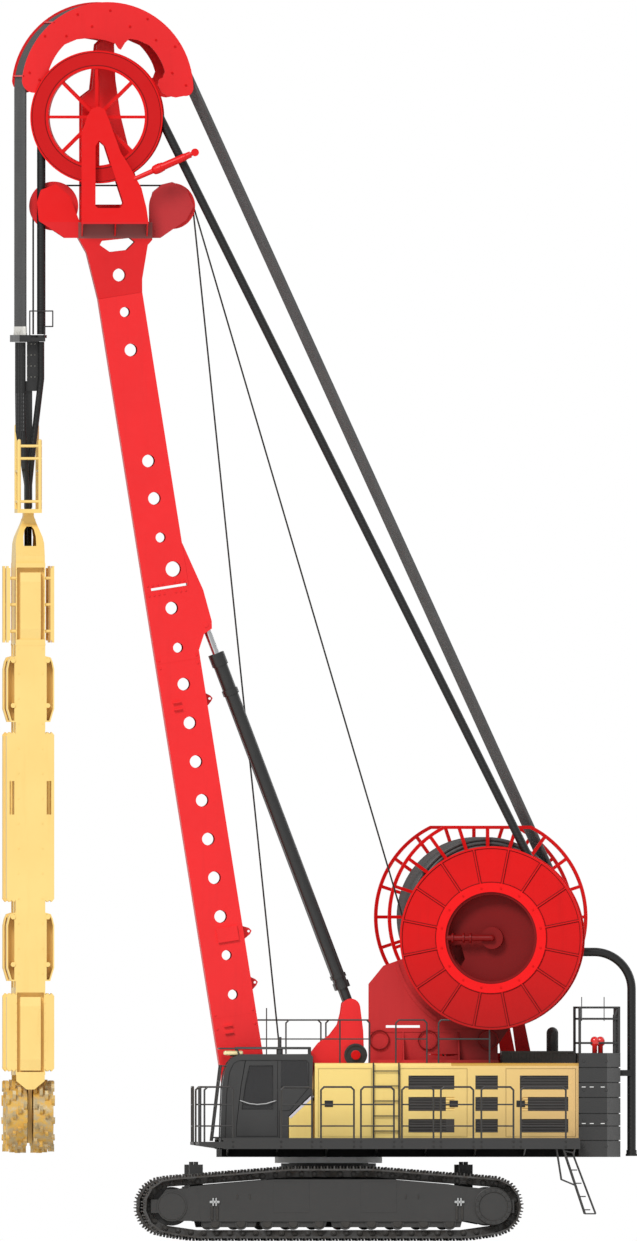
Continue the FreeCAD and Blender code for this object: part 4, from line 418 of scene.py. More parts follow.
# %% Finishes of the CAD nodes
FINISHES = [
    (shoe_steel, ["track_left", "track_right"]),
    (dark_grey, ["carbody", "track_frame_left", "track_frame_right", "walkway_left",
                 "walkway_right", "engine_hood", "winch_frames"]),
    (weight_grey, ["counterweight"]),
    (frame_black_in_shade, ["main_frame"]),
    (railing_grey, ["ladders", "roof_rails", "walkway_rails_left", "walkway_rails_right"]),
    (cab_grey, ["cab_floor", "cab_side_walls", "cab_end_walls", "cab_guards", "cab_door"]),
    (lit_ring_steel, ["slew_ring"]),
    (engine_iron, ["engine_block"]),
    (black_paint, ["winch_drum_front", "winch_drum_rear", "luff_barrels", "cutter_manifold"]),
    (house_yellow, ["house_left", "house_right", "house_door_front", "house_door_middle",
                    "house_door_rear"]),
    (cab_glass, ["cab_glass"]),
    (signal_red, ["mast_lower", "mast_upper", "hose_guide_arc", "luff_brackets",
                  "front_rope_sheave", "rear_rope_sheave"]),
    (head_red, ["mast_head"]),
    (stand_red_in_shade, ["reel_stands"]),
    (reel_red, ["hydraulic_hose_reel"]),
    (mud_reel_red, ["mud_hose_reel"]),
    (wheel_red, ["mud_hose_wheel"]),
    (rod_chrome, ["luff_rods"]),
    (drop_grey, ["hose_drops"]),
    (run_grey, ["hose_runs"]),
    (hose_black, ["discharge_hose", "cutter_hoses"]),
    (wire_rope, ["rope_drops", "rope_runs"]),
    (cutter_yellow, ["cutter_frame", "cutter_guides"]),
    (tooth_steel, ["cutter_wheel_left", "cutter_wheel_right"]),
]
for finish, names in FINISHES:
    for name in names:
        mesh = nodes[name].data
        mesh.materials.clear()
        mesh.materials.append(finish)
print("dressed:", sum(len(names) for _, names in FINISHES), "of", len(nodes), "nodes")


# %% [markdown]
# ## A plain mesh from a node tree
# Bolts, hose turns and crimped ends repeat by the hundred. Each kind is one Geometry Nodes tree: a
# small mesh of points says where, and the tree puts a form on every point. This helper bakes the
# result to a plain mesh, with no instances or live modifier left, and removes the modifier before the
# piece is told which body it rides on.

# %% Bake a tree
def points_mesh(name, places, edges=(), **values):
    """Vertices with a value or a vector on each, loose or joined, for a tree to read."""
    mesh = bpy.data.meshes.new(name)
    mesh.from_pydata([tuple(p) for p in places], list(edges), [])
    for label, data in values.items():
        is_vector = hasattr(data[0], "__len__")
        kind = "FLOAT_VECTOR" if is_vector else "FLOAT"
        layer = mesh.attributes.new(label, kind, "POINT")
        if is_vector:
            layer.data.foreach_set("vector", [c for v in data for c in v])
        else:
            layer.data.foreach_set("value", list(data))
    thing = bpy.data.objects.new(name, mesh)
    bpy.context.scene.collection.objects.link(thing)
    return thing


def baked(thing, tree, settings, body, place=None):
    """Run tree on thing, keep the result as its mesh, and ride it on a body."""
    modifier = thing.modifiers.new("shape", "NODES")
    modifier.node_group = tree
    ids = {item.name: item.identifier for item in tree.interface.items_tree
           if item.in_out == "INPUT"}
    for label, value in settings.items():
        modifier[ids[label]] = value
    bpy.context.view_layer.update()
    shaped = thing.evaluated_get(bpy.context.evaluated_depsgraph_get())
    mesh = bpy.data.meshes.new_from_object(shaped)
    thing.modifiers.clear()
    thing.data = mesh
    if place:
        mesh.transform(place)
    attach(thing, body)
    print(thing.name, len(mesh.polygons), "faces")
    return thing


SOCKETS = {int: "NodeSocketInt", float: "NodeSocketFloat"}


def new_tree(name, inputs):
    """An empty geometry tree with named inputs and a Finish, and its input sockets."""
    tree = bpy.data.node_groups.new(name, "GeometryNodeTree")
    for way in ("INPUT", "OUTPUT"):
        tree.interface.new_socket("Geometry", in_out=way, socket_type="NodeSocketGeometry")
    for label, value in inputs.items():
        socket = tree.interface.new_socket(label, in_out="INPUT",
                                           socket_type=SOCKETS[type(value)])
        socket.default_value = value
    tree.interface.new_socket("Finish", in_out="INPUT", socket_type="NodeSocketMaterial")
    return tree, add(tree, "NodeGroupInput").outputs


def attribute(tree, name, kind):
    """The socket of a value that each point carries."""
    return add(tree, "GeometryNodeInputNamedAttribute", {"Name": name},
               data_type=kind).outputs["Attribute"]


def to_face(tree, **settings):
    """The rotation that turns a form from +Z to each point's facing vector."""
    return add(tree, "FunctionNodeAlignRotationToVector",
               {"Vector": attribute(tree, "facing", "FLOAT_VECTOR")}, axis="Z",
               **settings).outputs[0]


def moved(tree, form, **how):
    """A form moved, turned or stretched."""
    return add(tree, "GeometryNodeTransform", {"Geometry": form, **how}).outputs[0]


def on_points(tree, value, form, **how):
    """The form on every point, as real geometry."""
    placed = add(tree, "GeometryNodeInstanceOnPoints", {"Points": value["Geometry"],
                                                        "Instance": form, **how})
    return add(tree, "GeometryNodeRealizeInstances", {"Geometry": placed.outputs[0]}).outputs[0]


def swept(tree, value, line, radius):
    """A tube along a line. radius names the tree's input that sets how thick it is."""
    profile = add(tree, "GeometryNodeCurvePrimitiveCircle", {
        "Resolution": value["Profile steps"], "Radius": value[radius]})
    return add(tree, "GeometryNodeCurveToMesh", {
        "Curve": line, "Profile Curve": profile.outputs["Curve"], "Fill Caps": True}).outputs[0]


def closed(tree, value, shape):
    """Give the shape its finish and send it out of the tree."""
    dressed = add(tree, "GeometryNodeSetMaterial", {"Geometry": shape,
                                                    "Material": value["Finish"]})
    add(tree, "NodeGroupOutput", {"Geometry": dressed.outputs[0]})
    return tree


# %% [markdown]
# ## Bolts, caps and collars
# A hexagon bolt head, a round hub cap and a crimped hose collar are the same form with another
# number of sides: a short prism with a bevelled end. So one tree makes all three. It stands a
# cone on each point and turns it to face the way the point's facing vector says.

# %% The tree for short prisms
def prism_tree():
    tree, value = new_tree("short_prisms", {"Sides": 6, "Radius": 0.02, "Height": 0.015,
                                            "Crown": 0.86})
    lower, bevel = [calc(tree, "MULTIPLY", value["Height"], share) for share in (0.75, 0.25)]
    crown_radius = calc(tree, "MULTIPLY", value["Radius"], value["Crown"])
    shank, crown = [add(tree, "GeometryNodeMeshCone", {
        "Vertices": value["Sides"], "Radius Top": top, "Radius Bottom": value["Radius"],
        "Depth": depth}).outputs["Mesh"]
        for top, depth in ((value["Radius"], lower), (crown_radius, bevel))]
    lift = add(tree, "ShaderNodeCombineXYZ", {"Z": lower})
    both = add(tree, "GeometryNodeJoinGeometry")
    for part in (shank, moved(tree, crown, Translation=lift.outputs[0])):
        tree.links.new(part, both.inputs[0])
    return closed(tree, value,
                  on_points(tree, value, both.outputs[0], Rotation=to_face(tree)))


PRISMS = prism_tree()


def prisms(name, places, facing, body, slot, finish, radius, height, sides=6, crown=0.86):
    """Short prisms that stand on places. facing is one vector, or one for each place."""
    several = facing if isinstance(facing, list) else [facing] * len(places)
    thing = points_mesh(name, places, facing=[tuple(f) for f in several])
    return baked(thing, PRISMS, {"Sides": sides, "Radius": radius, "Height": height,
                                 "Crown": crown, "Finish": finish}, body)


NEAR, FAR, UP = Vector((0, -1, 0)), Vector((0, 1, 0)), Vector((0, 0, 1))
SIDES = (("near", -1, NEAR), ("far", 1, FAR))


def prisms_on_faces(name, places, half, body, slot, finish, *size, turn=Matrix(), **form):
    """Prisms at (x, z) places on both faces of something that is 2 * half thick."""
    spots = [turn @ Vector((x, side * half, z)) for _, side, _ in SIDES for x, z in places]
    facing = [turn.to_3x3() @ outward for *_, outward in SIDES for _ in places]
    return prisms(name, spots, facing, body, slot, finish, *size, **form)


# %% [markdown]
# ## Hose turns on the reels
# A hydraulic reel carries ten hoses, wound side by side, turn over turn. From the side the turns show
# as fine rings, and from the edge as a row of beads. A full spiral would hide most of its
# length, so each turn is drawn as its own ring: a tree bends a circle to each point's radius
# and runs a round profile along it. The rings stand for the plain solid pack of the CAD model.

# %% The tree for rings
def ring_tree():
    tree, value = new_tree("hose_rings", {"Hose radius": 0.04, "Steps": 96,
                                          "Profile steps": 10})
    circle = add(tree, "GeometryNodeCurvePrimitiveCircle", {"Resolution": value["Steps"],
                                                            "Radius": 1.0})
    upright = moved(tree, circle.outputs["Curve"], Rotation=(math.pi / 2, 0, 0))
    line = on_points(tree, value, upright, Scale=attribute(tree, "turn_radius", "FLOAT"))
    return closed(tree, value, swept(tree, value, line, "Hose radius"))


RINGS = ring_tree()


def reel_place(joint_name):
    """Where a reel's own frame sits: its centre, turned so that +Y runs along its axle."""
    joint = next(j for j in frame["joints"] if j["name"] == joint_name)
    axle = Vector(joint["axis"])
    yaw = math.atan2(-axle.x, axle.y)
    return Matrix.Translation(Vector(joint["pos_m"])) @ Matrix.Rotation(yaw, 4, "Z")


def rings(name, places, radii, thickness, steps, profile, finish, body, slot, joint):
    """Rings of one thickness round an axle: places are (0, y, 0), in the axle's own frame."""
    return baked(points_mesh(name, places, turn_radius=radii), RINGS,
                 {"Hose radius": thickness, "Steps": steps, "Profile steps": profile,
                  "Finish": finish}, body, reel_place(joint))


HOSE_R, HOSE_PITCH = 0.04, 0.0825
PACK_OUTER, PACK_INNER, PACK_HALF = 1.60, 0.80, 0.68
across = [-PACK_HALF + HOSE_R + i * HOSE_PITCH for i in range(16)]
layers = [PACK_INNER + HOSE_R + i * 2 * HOSE_R for i in range(10)]
turn_places = [(0, y, 0) for y in across]
turn_radii = [PACK_OUTER - HOSE_R] * len(across)
for y in (across[0], across[-1]):
    turn_places += [(0, y, 0)] * (len(layers) - 1)
    turn_radii += layers[:-1]
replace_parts(rings("hydraulic_hose_turns", turn_places, turn_radii, HOSE_R, 88, 8, hose_grey,
                  "hydraulic_reel", "hose_rubber", "hydraulic_reel_spin"), "hydraulic_hose_pack")

# The dark red rings at the inner and outer rims of the mud wheel and the mud reel are painted shade
# in the creases there.
REEL_FACE, WHEEL_FACE, RIM_LINE_R = 0.243, 0.181, 0.008
for body, face, inner, outer in (("mud_wheel", WHEEL_FACE, 1.032, 1.292),
                                 ("mud_reel", REEL_FACE, 1.118, 1.788)):
    rings(body.split("_")[1] + "_rim_shade_lines", [(0, y, 0) for y in (-face, face) * 2],
          [outer, outer, inner, inner], RIM_LINE_R, 96, 6, painted_shade_red, body, "mast_red",
          body + "_spin")

MUD_HOSE_R, MUD_TURN_R, MUD_TURN_Y = 0.085, 1.29, 0.115
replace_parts(rings("mud_hose_turns", [(0, -MUD_TURN_Y, 0), (0, MUD_TURN_Y, 0)],
                  [MUD_TURN_R - MUD_HOSE_R] * 2, MUD_HOSE_R, 96, 16, hose_black, "mud_reel",
                  "hose_rubber", "mud_reel_spin"), "mud_hose_pack")


# %% [markdown]
# ## Hoses over the mast head
# From the cutter the ten hydraulic hoses climb to the guide arc, lie over its rollers and leave
# it for their reel; the mud hose does the same over its wheel. The part that lies on the arc
# never leaves the mast, so it rides there. A tree turns lines into tubes. Each line starts
# where the hose hangs straight down and ends at the tangent towards the reel.

# %% The tree for tubes, and the hoses on the arc
def tube_tree():
    tree, value = new_tree("tubes", {"Tube radius": 0.04, "Profile steps": 10})
    line = add(tree, "GeometryNodeMeshToCurve", {"Mesh": value["Geometry"]})
    return closed(tree, value, swept(tree, value, line.outputs["Curve"], "Tube radius"))


TUBES = tube_tree()


def tubes(name, lines, radius, body, finish, steps=10):
    """One tube along each line of points."""
    places, edges = [], []
    for line in lines:
        first = len(places)
        places += line
        edges += [(first + i, first + i + 1) for i in range(len(line) - 1)]
    return baked(points_mesh(name, places, edges=edges), TUBES,
                 {"Tube radius": radius, "Profile steps": steps, "Finish": finish}, body)


def leaving_angle(top, top_radius, reel, reel_radius):
    """Where a hose leaves the circle at the mast head on its way to the reel's circle."""
    fall = reel.z - top.z
    reach = math.hypot(reel.x - top.x, reel.y - top.y)
    return math.atan2(fall, reach) + math.acos((top_radius - reel_radius) /
                                               math.hypot(fall, reach))


def over_the_top(place, radius, lateral, last, steps=30):
    """Points of a hose round a circle, from its left side over the top to the last angle."""
    line = []
    for i in range(-1, steps + 1):
        angle = math.pi + (last - math.pi) * max(i, 0) / steps
        line.append(place @ Vector((radius * math.cos(angle), lateral,
                                    radius * math.sin(angle))))
    line[0].z -= OVERLAP
    return line


def turned(centre, yaw):
    """The place of a frame at a centre, turned about the upright axis."""
    return Matrix.Translation(centre) @ Matrix.Rotation(math.radians(yaw), 4, "Z")


OVERLAP = 0.06               # metres of the hanging hose that the laid part covers
GUIDE_CENTRE = Vector((-4.51, 0.40, 23.03))
GUIDE_HOSE_R, MUD_WHEEL_HOSE_R = 1.67, 1.125
GUIDE_TURN, MUD_WHEEL_TURN = turned(GUIDE_CENTRE, 8.6), turned(MUD_WHEEL_CENTRE, -7.24)
HOSE_LATERALS = [-0.45 + 0.1 * i for i in range(10)]
reel_centre = reel_place("hydraulic_reel_spin").to_translation()
last = leaving_angle(GUIDE_CENTRE, GUIDE_HOSE_R, reel_centre, PACK_OUTER - HOSE_R)
tubes("hoses_on_the_arc",
      [over_the_top(GUIDE_TURN, GUIDE_HOSE_R, side, last) for side in HOSE_LATERALS],
      HOSE_R, "mast", hose_grey, steps=8)
last = leaving_angle(MUD_WHEEL_CENTRE, MUD_WHEEL_HOSE_R, Vector(MUD_REEL_CENTRE),
                     MUD_TURN_R - MUD_HOSE_R)
tubes("mud_hose_on_the_wheel", [over_the_top(MUD_WHEEL_TURN, MUD_WHEEL_HOSE_R, 0.0, last)],
      MUD_HOSE_R, "mast", hose_black, steps=16)


# %% [markdown]
# ## Plates, rounded boxes and turned forms
# Three plain shapes make most small fittings: a flat plate cut to an outline, a box with
# rounded edges, and a form turned on a lathe. Each function adds one to a bmesh, so a piece is
# a list of such steps, and its normals are set right once at the end. A few pieces start from
# a copy of a CAD node's mesh instead.

# %% Forms
def shown(shape, name, slot, *finishes, smooth=False):
    """A bmesh as an object in these finishes, not yet on a body."""
    mesh = bpy.data.meshes.new(name)
    shape.to_mesh(mesh)
    shape.free()
    for finish in finishes:
        mesh.materials.append(finish)
    if smooth:
        mesh.shade_smooth()
    thing = bpy.data.objects.new(name, mesh)
    bpy.context.scene.collection.objects.link(thing)
    print(name, len(mesh.polygons), "faces")
    return thing


def built(name, body, slot, finish, *steps, shape=None, smooth=False):
    """Build one piece that rides on a body, from (function, arguments) steps."""
    shape = shape or bmesh.new()
    for make, arguments in steps:
        make(shape, *arguments)
    bmesh.ops.recalc_face_normals(shape, faces=shape.faces)
    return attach(shown(shape, name, slot, finish, smooth=smooth), body)


def copied(node):
    """A CAD node's mesh as a bmesh, with its split corners joined."""
    shape = bmesh.new()
    shape.from_mesh(nodes[node].data)
    bmesh.ops.remove_doubles(shape, verts=shape.verts, dist=1e-5)
    return shape


def cut(shape, place, normal, **settings):
    """Cut a bmesh across at a plane."""
    parts = shape.verts[:] + shape.edges[:] + shape.faces[:]
    bmesh.ops.bisect_plane(shape, geom=parts, plane_co=place, plane_no=normal, **settings)


def close_holes(shape):
    edges = [edge for edge in shape.edges if edge.is_boundary]
    bmesh.ops.holes_fill(shape, edges=edges, sides=0)


def bevelled_box(shape, low, high, radius, segments=3):
    """Add a box with rounded edges to a bmesh."""
    low, high = Vector(low), Vector(high)
    made = bmesh.ops.create_cube(shape, size=1.0)
    size = high - low
    bmesh.ops.scale(shape, vec=size, verts=made["verts"])
    bmesh.ops.translate(shape, vec=(low + high) / 2, verts=made["verts"])
    edges = list(dict.fromkeys(e for v in made["verts"] for e in v.link_edges))
    bmesh.ops.bevel(shape, geom=edges, offset=radius, segments=segments, affect="EDGES",
                    profile=0.5)


def lathed(shape, profile, centre, axis, steps=32):
    """Add a turned form to a bmesh. profile is (radius, distance along axis) pairs."""
    turn = Vector(axis).to_track_quat("Z", "Y").to_matrix().to_4x4()
    place = Matrix.Translation(Vector(centre)) @ turn
    rings = []
    for radius, along in profile:
        rings.append([shape.verts.new(place @ Vector((radius * math.cos(a), radius * math.sin(a),
                                                      along)))
                      for a in (2 * math.pi * i / steps for i in range(steps))])
    for lower, upper in zip(rings, rings[1:]):
        for i in range(steps):
            j = (i + 1) % steps
            shape.faces.new((lower[i], lower[j], upper[j], upper[i]))
    shape.faces.new(list(reversed(rings[0])))
    shape.faces.new(rings[-1])


def plate(shape, outline, y0, y1, place=Matrix()):
    """Add a flat plate to a bmesh: an outline in X and Z, thick from y0 to y1."""
    sides = [[shape.verts.new(place @ Vector((x, y, z))) for x, z in outline] for y in (y0, y1)]
    shape.faces.new(sides[0])
    shape.faces.new(list(reversed(sides[1])))
    for i in range(len(outline)):
        j = (i + 1) % len(outline)
        shape.faces.new((sides[0][j], sides[0][i], sides[1][i], sides[1][j]))


def polar(radius, degrees, centre=(0.0, 0.0)):
    """A point in X and Z at an angle round a centre."""
    angle = math.radians(degrees)
    return centre[0] + radius * math.cos(angle), centre[1] + radius * math.sin(angle)


def arc(radius, first, last, steps, centre=(0.0, 0.0)):
    """Points in X and Z from one angle to another."""
    return [polar(radius, first + (last - first) * i / steps, centre) for i in range(steps + 1)]


def on_face(outline, y, back_to_start=True):
    """A line of points on a face that looks along Y, closed unless told not to be."""
    return [(x, y, z) for x, z in outline + outline[:1] * back_to_start]


# %% [markdown]
# ## The guide arc's side plates
# Two laser-cut plates hold the arc's rollers. Their edge is all round lobes, because a hose
# that jumps off a roller must not meet a corner. The solid's plates are plainer, so this piece
# keeps its rollers and posts, and swaps the plates for ones cut to the full outline.

# %% Guide arc
GUIDE_HALF, GUIDE_SHEET, GUIDE_R = 0.540, 0.014, 1.75
LOBE_R, TOE_R = 0.25, 0.16
guide_outline = arc(GUIDE_R, 0, 172, 40)
guide_outline += arc(LOBE_R, 184, 352, 14, polar(GUIDE_R - LOBE_R, 173))
guide_outline += arc(1.25, 161, 134, 8)
guide_outline += [polar(1.18, 122), polar(1.11, 113), polar(1.05, 104), polar(0.985, 92),
                  polar(0.93, 80), polar(0.85, 75), polar(0.84, 71), polar(1.0, 69),
                  polar(1.11, 66), polar(1.165, 58)]
guide_outline += arc(1.23, 46, 24, 6)
guide_outline += [polar(1.225, 17), polar(1.15, 12), polar(1.07, 11), polar(1.03, 5),
                  polar(1.11, -3), polar(1.23, -6), polar(1.40, -6.6)]
guide_outline += arc(TOE_R, -100, -8, 8, polar(GUIDE_R - TOE_R, 1))
guide_shape = copied("hose_guide_arc")
to_guide = GUIDE_TURN.inverted()
old_plates = [face for face in guide_shape.faces
              if all(abs((to_guide @ v.co).y) > GUIDE_HALF - GUIDE_SHEET - 0.002
                     for v in face.verts)]
bmesh.ops.delete(guide_shape, geom=old_plates, context="FACES")
close_holes(guide_shape)
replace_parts(built("guide_arc_plates", "mast", "mast_red", signal_red,
                  (plate, (guide_outline, -GUIDE_HALF, GUIDE_SHEET - GUIDE_HALF, GUIDE_TURN)),
                  (plate, (guide_outline, GUIDE_HALF - GUIDE_SHEET, GUIDE_HALF, GUIDE_TURN)),
                  shape=guide_shape), "hose_guide_arc")
bar_spots = [polar(1.725, 171), polar(1.725, 129), polar(1.715, 32)]
tubes("guide_arc_bars", [[GUIDE_TURN @ Vector((x, side * GUIDE_HALF, z)) for side in (-1, 1)]
                         for x, z in bar_spots], 0.018, "mast", signal_red)


# %% [markdown]
# ## Hoses and ropes between moving bodies
# The long spans run from the reels and winches, which stand on the house, up to the mast head, and
# the hanging ends run from the mast head down to the cutter. Both ends of each have to stay joined
# when the mast luffs or the cutter is hoisted. Each span is cut into short lengths, which keep its
# form.

# %% Spans cut into short lengths
MUD_DROP = ((-5.95, -5.0, 0.0), (0.0, 5.0, 30.0))
MUD_RUN = ((-10.0, -5.0, 0.0), (10.0, -0.25, 30.0))


def span(name, node, slot, first, last, cuts, start, end, mud=None):
    """A node's lines cut across into short lengths between two places.

    Faces between the two corners of mud are the mud hose, and get its own finish. Their finish goes
    by face and not by place.
    """
    shape = copied(node)
    start, end = Vector(start), Vector(end)
    for i in range(1, cuts):
        cut(shape, start.lerp(end, i / cuts), end - start)
    thing = shown(shape, name, slot, nodes[node].data.materials[0])
    if mud:
        thing.data.materials.append(mud_black)
        for face in thing.data.polygons:
            within = all(a <= c <= b for a, c, b in zip(mud[0], face.center, mud[1]))
            face.material_index = int(within)
    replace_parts(thing, node)
    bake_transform(thing)


low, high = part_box("hose_runs")
middle = (low.y + high.y) / 2
span("hose_spans", "hose_runs", "hose_rubber", "upper", "mast", 28,
     (high.x - 0.25, middle, low.z + 0.6), (low.x + 0.45, middle, high.z - 0.9), MUD_RUN)
low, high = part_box("rope_runs")
span("rope_spans", "rope_runs", "wire_rope", "upper", "mast", 24,
     (high.x - 1.5, 0.0, low.z + 0.3), (-3.10, 0.0, high.z - 0.9))
low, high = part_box("hose_drops")
span("hanging_hoses", "hose_drops", "hose_rubber", "hanger", "cutter", 14,
     (low.x, 0.0, high.z - 0.2), (low.x, 0.0, low.z + 0.1), MUD_DROP)
low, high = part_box("rope_drops")
span("hanging_ropes", "rope_drops", "wire_rope", "hanger", "cutter", 8,
     (low.x, 0.0, high.z - 0.1), (low.x, 0.0, low.z + 0.1))


# %% [markdown]
# ## Weld seams on the mud reel, in painted shade
# Sixteen ribs stiffen the reel's flange. Where each meets the sheet, a fillet weld runs down both its
# sides. The seams are drawn in a dark red that is painted shade, for the shade in the corner between
# rib and sheet, and they draw the reel's rays.

# %% Seams beside the ribs
RIBS, RIB_START, RIB_END, RIB_SIDE = 16, 1.115, 1.785, 0.020
seams = []
mud_turn = reel_place("mud_reel_spin")
for i in range(RIBS):
    round_axle = mud_turn @ Matrix.Rotation(math.radians((i + 0.5) * 360.0 / RIBS), 4, "Y")
    seams += [[round_axle @ Vector((reach, y, hand)) for reach in (RIB_START, RIB_END)]
              for y in (-REEL_FACE, REEL_FACE) for hand in (-RIB_SIDE, RIB_SIDE)]
# The dark red of the seams is painted shade beside each rib.
tubes("reel_rib_seam_shade", seams, 0.011, "mud_reel", painted_shade_red, steps=6)


# %% [markdown]
# ## Bolts on the mast, the reels and the cutter
# Bolted joints are where a machine like this is taken apart for transport: the mast's joint,
# the cutter's head and foot covers, the hub rings of the reels. The leaning mast needs its
# bolts in its own line, so one matrix turns "so far back, so far up" into a place.

# %% Bolt places
MAST_FOOT = Vector((-1.553, 0, 2.32))
MAST_LEAN = math.radians(9.0)
MAST_FACE_Y = 0.42
SKIN = 0.001                 # metres in or out, so that a bolt and its face never share a plane
ON_MAST = Matrix.Translation(MAST_FOOT) @ Matrix.Rotation(-MAST_LEAN, 4, "Y")
mast_bolts = [(back, up) for up in (10.77, 10.97)
              for back in (-0.37, -0.27, -0.17, -0.07, 0.17, 0.27, 0.37)]
mast_bolts += [(back, up) for up in (2.0, 2.28, 9.3, 9.46) for back in (-0.38, 0.38)]
prisms_on_faces("mast_joint_bolts", mast_bolts, MAST_FACE_Y - SKIN, "mast", "mast_red",
                signal_red, 0.024, 0.02, turn=ON_MAST)

HUB_BOLT_R, HUB_BOLT_Y = 1.01, -0.273
hub_bolts = [polar(HUB_BOLT_R, 11.25 + 22.5 * i) for i in range(16)]
prisms("mud_reel_bolts", [mud_turn @ Vector((x, HUB_BOLT_Y, z)) for x, z in hub_bolts],
       mud_turn.to_3x3() @ NEAR, "mud_reel", "mast_red", reel_red, 0.024, 0.02)

arc_bolts = [polar(*spot) for spot in (
    (1.62, 168), (1.40, 172), (1.66, 140), (1.36, 128), (1.62, 112), (1.30, 104), (1.58, 88),
    (1.34, 70), (1.63, 60), (1.40, 45), (1.62, 32), (1.36, 14), (1.60, 3))]
prisms_on_faces("arc_plate_bolts", arc_bolts, GUIDE_HALF + SKIN, "mast", "mast_red",
                reel_red, 0.026, 0.016, turn=GUIDE_TURN)

CUTTER_X, CUTTER_Y = -6.01, 1.30
cutter_bolts = [(CUTTER_X + back, low + 0.12 + (high - low - 0.24) * i / 8)
                for low, high in ((11.93, 13.56), (3.32, 5.07))
                for back in (-0.283, 0.283) for i in range(9)]
cutter_bolts += [(CUTTER_X + back, 5.35 + 0.5 * i) for i in range(14)
                 for back in (-0.24, 0.24)]
prisms_on_faces("cutter_cover_bolts", cutter_bolts, CUTTER_Y - SKIN, "cutter",
                "cutter_yellow", cutter_yellow, 0.016, 0.014)

weight_bolts = [(5.05 + 0.45 * i, -1.599, z) for i in range(2) for z in (1.9, 2.42, 3.02, 3.6)]
prisms("counterweight_plugs", weight_bolts, NEAR, "upper", "chassis_grey", dark_grey, 0.03,
       0.012, sides=20)


# %% [markdown]
# ## Crimped hose ends at the cutter
# Each hydraulic hose ends in a steel collar, pressed on in a swaging tool, and a hexagon nut
# under it. They sit in a row on the clamp beam above the cutter and are its one bright spot.

# %% Collars and nuts
HOSE_END_Z = 18.12
hose_feet = [over_the_top(GUIDE_TURN, GUIDE_HOSE_R, side, 0.0)[1] for side in HOSE_LATERALS]
for foot in hose_feet:
    foot.z = HOSE_END_Z
prisms("hose_collars", [p + Vector((0, 0, 0.05)) for p in hose_feet], UP, "cutter",
       "chrome_rod", crimp_steel, 0.047, 0.12, sides=20, crown=0.9)
prisms("hose_nuts", hose_feet, UP, "cutter", "chrome_rod", crimp_steel, 0.052, 0.06)
plate_bolts = [(-6.03 + 0.075 * k, -0.111, z) for k in (0, 1, 2, 3)
               for z in (17.28, 17.5, 17.72, 17.94)]
prisms("load_plate_bolts", plate_bolts, NEAR, "cutter", "bearing_steel", bolt_steel, 0.012,
       0.012)


# %% [markdown]
# ## Lamps, latches and the stripe
# Small things tell the eye how large the machine is: a roof lamp with a cream lens, black door
# latches in shallow pans, two red lamps on the rear deck, and a pale stripe along the slanted
# edge where the yellow skirt meets the cab. They are built from bevelled or lathed forms.

# %% Lamps, latches and stripe
cream_lens = paint("cream_lamp_lens", "#FFF0B8", "#FBE39A", roughness=0.12, dust=0.0, coat=1.0)
lamp_red = paint("red_lamp_lens", "#F0201C", "#C01814", roughness=0.15, dust=0.0, coat=1.0)
stripe_white = paint("pale_stripe_film", "#DDD9E2", "#CDC8D4", roughness=0.35, dust=0.1)
latch_black = paint("latch_black_plastic", "#1F1F1F", "#141414", roughness=0.45, coat=0.0)

built("cab_roof_lamp", "upper", "glass", cream_lens,
      (bevelled_box, ((-2.15, -1.48, 3.715), (-1.76, -1.22, 3.81), 0.042, 5)), smooth=True)
built("cab_roof_lamp_bracket", "upper", "chassis_grey", latch_black,
      (bevelled_box, ((-2.02, -1.37, 3.69), (-1.80, -1.33, 3.722), 0.008)))

DOOR_WINDOW = [(-1.79, 2.64), (-1.72, 3.12), (-1.64, 3.51), (-1.17, 3.51), (-1.17, 2.64)]
built("cab_door_pane", "cab_door", "glass", cab_glass,
      (plate, (DOOR_WINDOW, -1.537, -1.525)))
for name, x, y in (("rear_lamp_near", 5.28, -1.30), ("rear_lamp_far", 5.40, -1.18)):
    built(name, "upper", "mast_red", lamp_red,
          (lathed, ([(0.05, 0.0), (0.05, 0.14), (0.085, 0.17), (0.085, 0.26), (0.06, 0.31),
                     (0.02, 0.33)], (x, y, 3.76), UP)), smooth=True)

LATCH_Y = -1.55
for door, x in (("house_door_front", -0.05), ("house_door_middle", 2.45),
                ("house_door_rear", 3.79)):
    built(door + "_latch", door, "chassis_grey", latch_black,
          (bevelled_box, ((x - 0.085, LATCH_Y - 0.012, 2.68), (x + 0.085, LATCH_Y + 0.004, 2.81),
                          0.008)),
          (bevelled_box, ((x - 0.05, LATCH_Y - 0.026, 2.725), (x + 0.05, LATCH_Y - 0.01, 2.765),
                          0.007)))

SKIRT_STRIPE = [(-0.846, 2.484), (-0.386, 2.922), (-0.352, 2.886), (-0.812, 2.448)]
built("skirt_stripe", "upper", "house_yellow", stripe_white,
      (plate, (SKIRT_STRIPE, -1.5535, -1.549)))


# %% [markdown]
# ## Undercarriage fittings
# A crawler's side frame carries rollers, an idler at one end and a geared drive at the other.
# The rollers have oil caps, the drive case a ring of bolts, and the chain a pin in every link,
# which shows as a row of bosses under the shoes. The chain's line is a loop round both end
# wheels: flat on top, sloping down to the wheels, flat on the ground.

# %% Rollers, drive and chain pins
TRACK_Y, FRAME_HALF, CHAIN_HALF = 1.95, 0.30, 0.13
FRAME_Y = TRACK_Y + FRAME_HALF
WHEEL = Vector((3.216, 0.0, 0.694))
WHEEL_R, BEND_R = 0.56, 0.26
SHOE_PITCH, GROUSER_HEIGHT, CHAIN_LINE = 0.26, 0.056, 0.106
TOP_END, GROUND_END = Vector((0.80, 0.0, 1.184)), Vector((2.70, 0.0, 0.316))
ROLLER_Z = 0.354


def tangent_angle(a, b):
    """Direction of the outward normal where a belt runs from circle a to circle b."""
    run = b[0] - a[0]
    return math.atan2(run.z, run.x) - math.acos((a[1] - b[1]) / run.length)


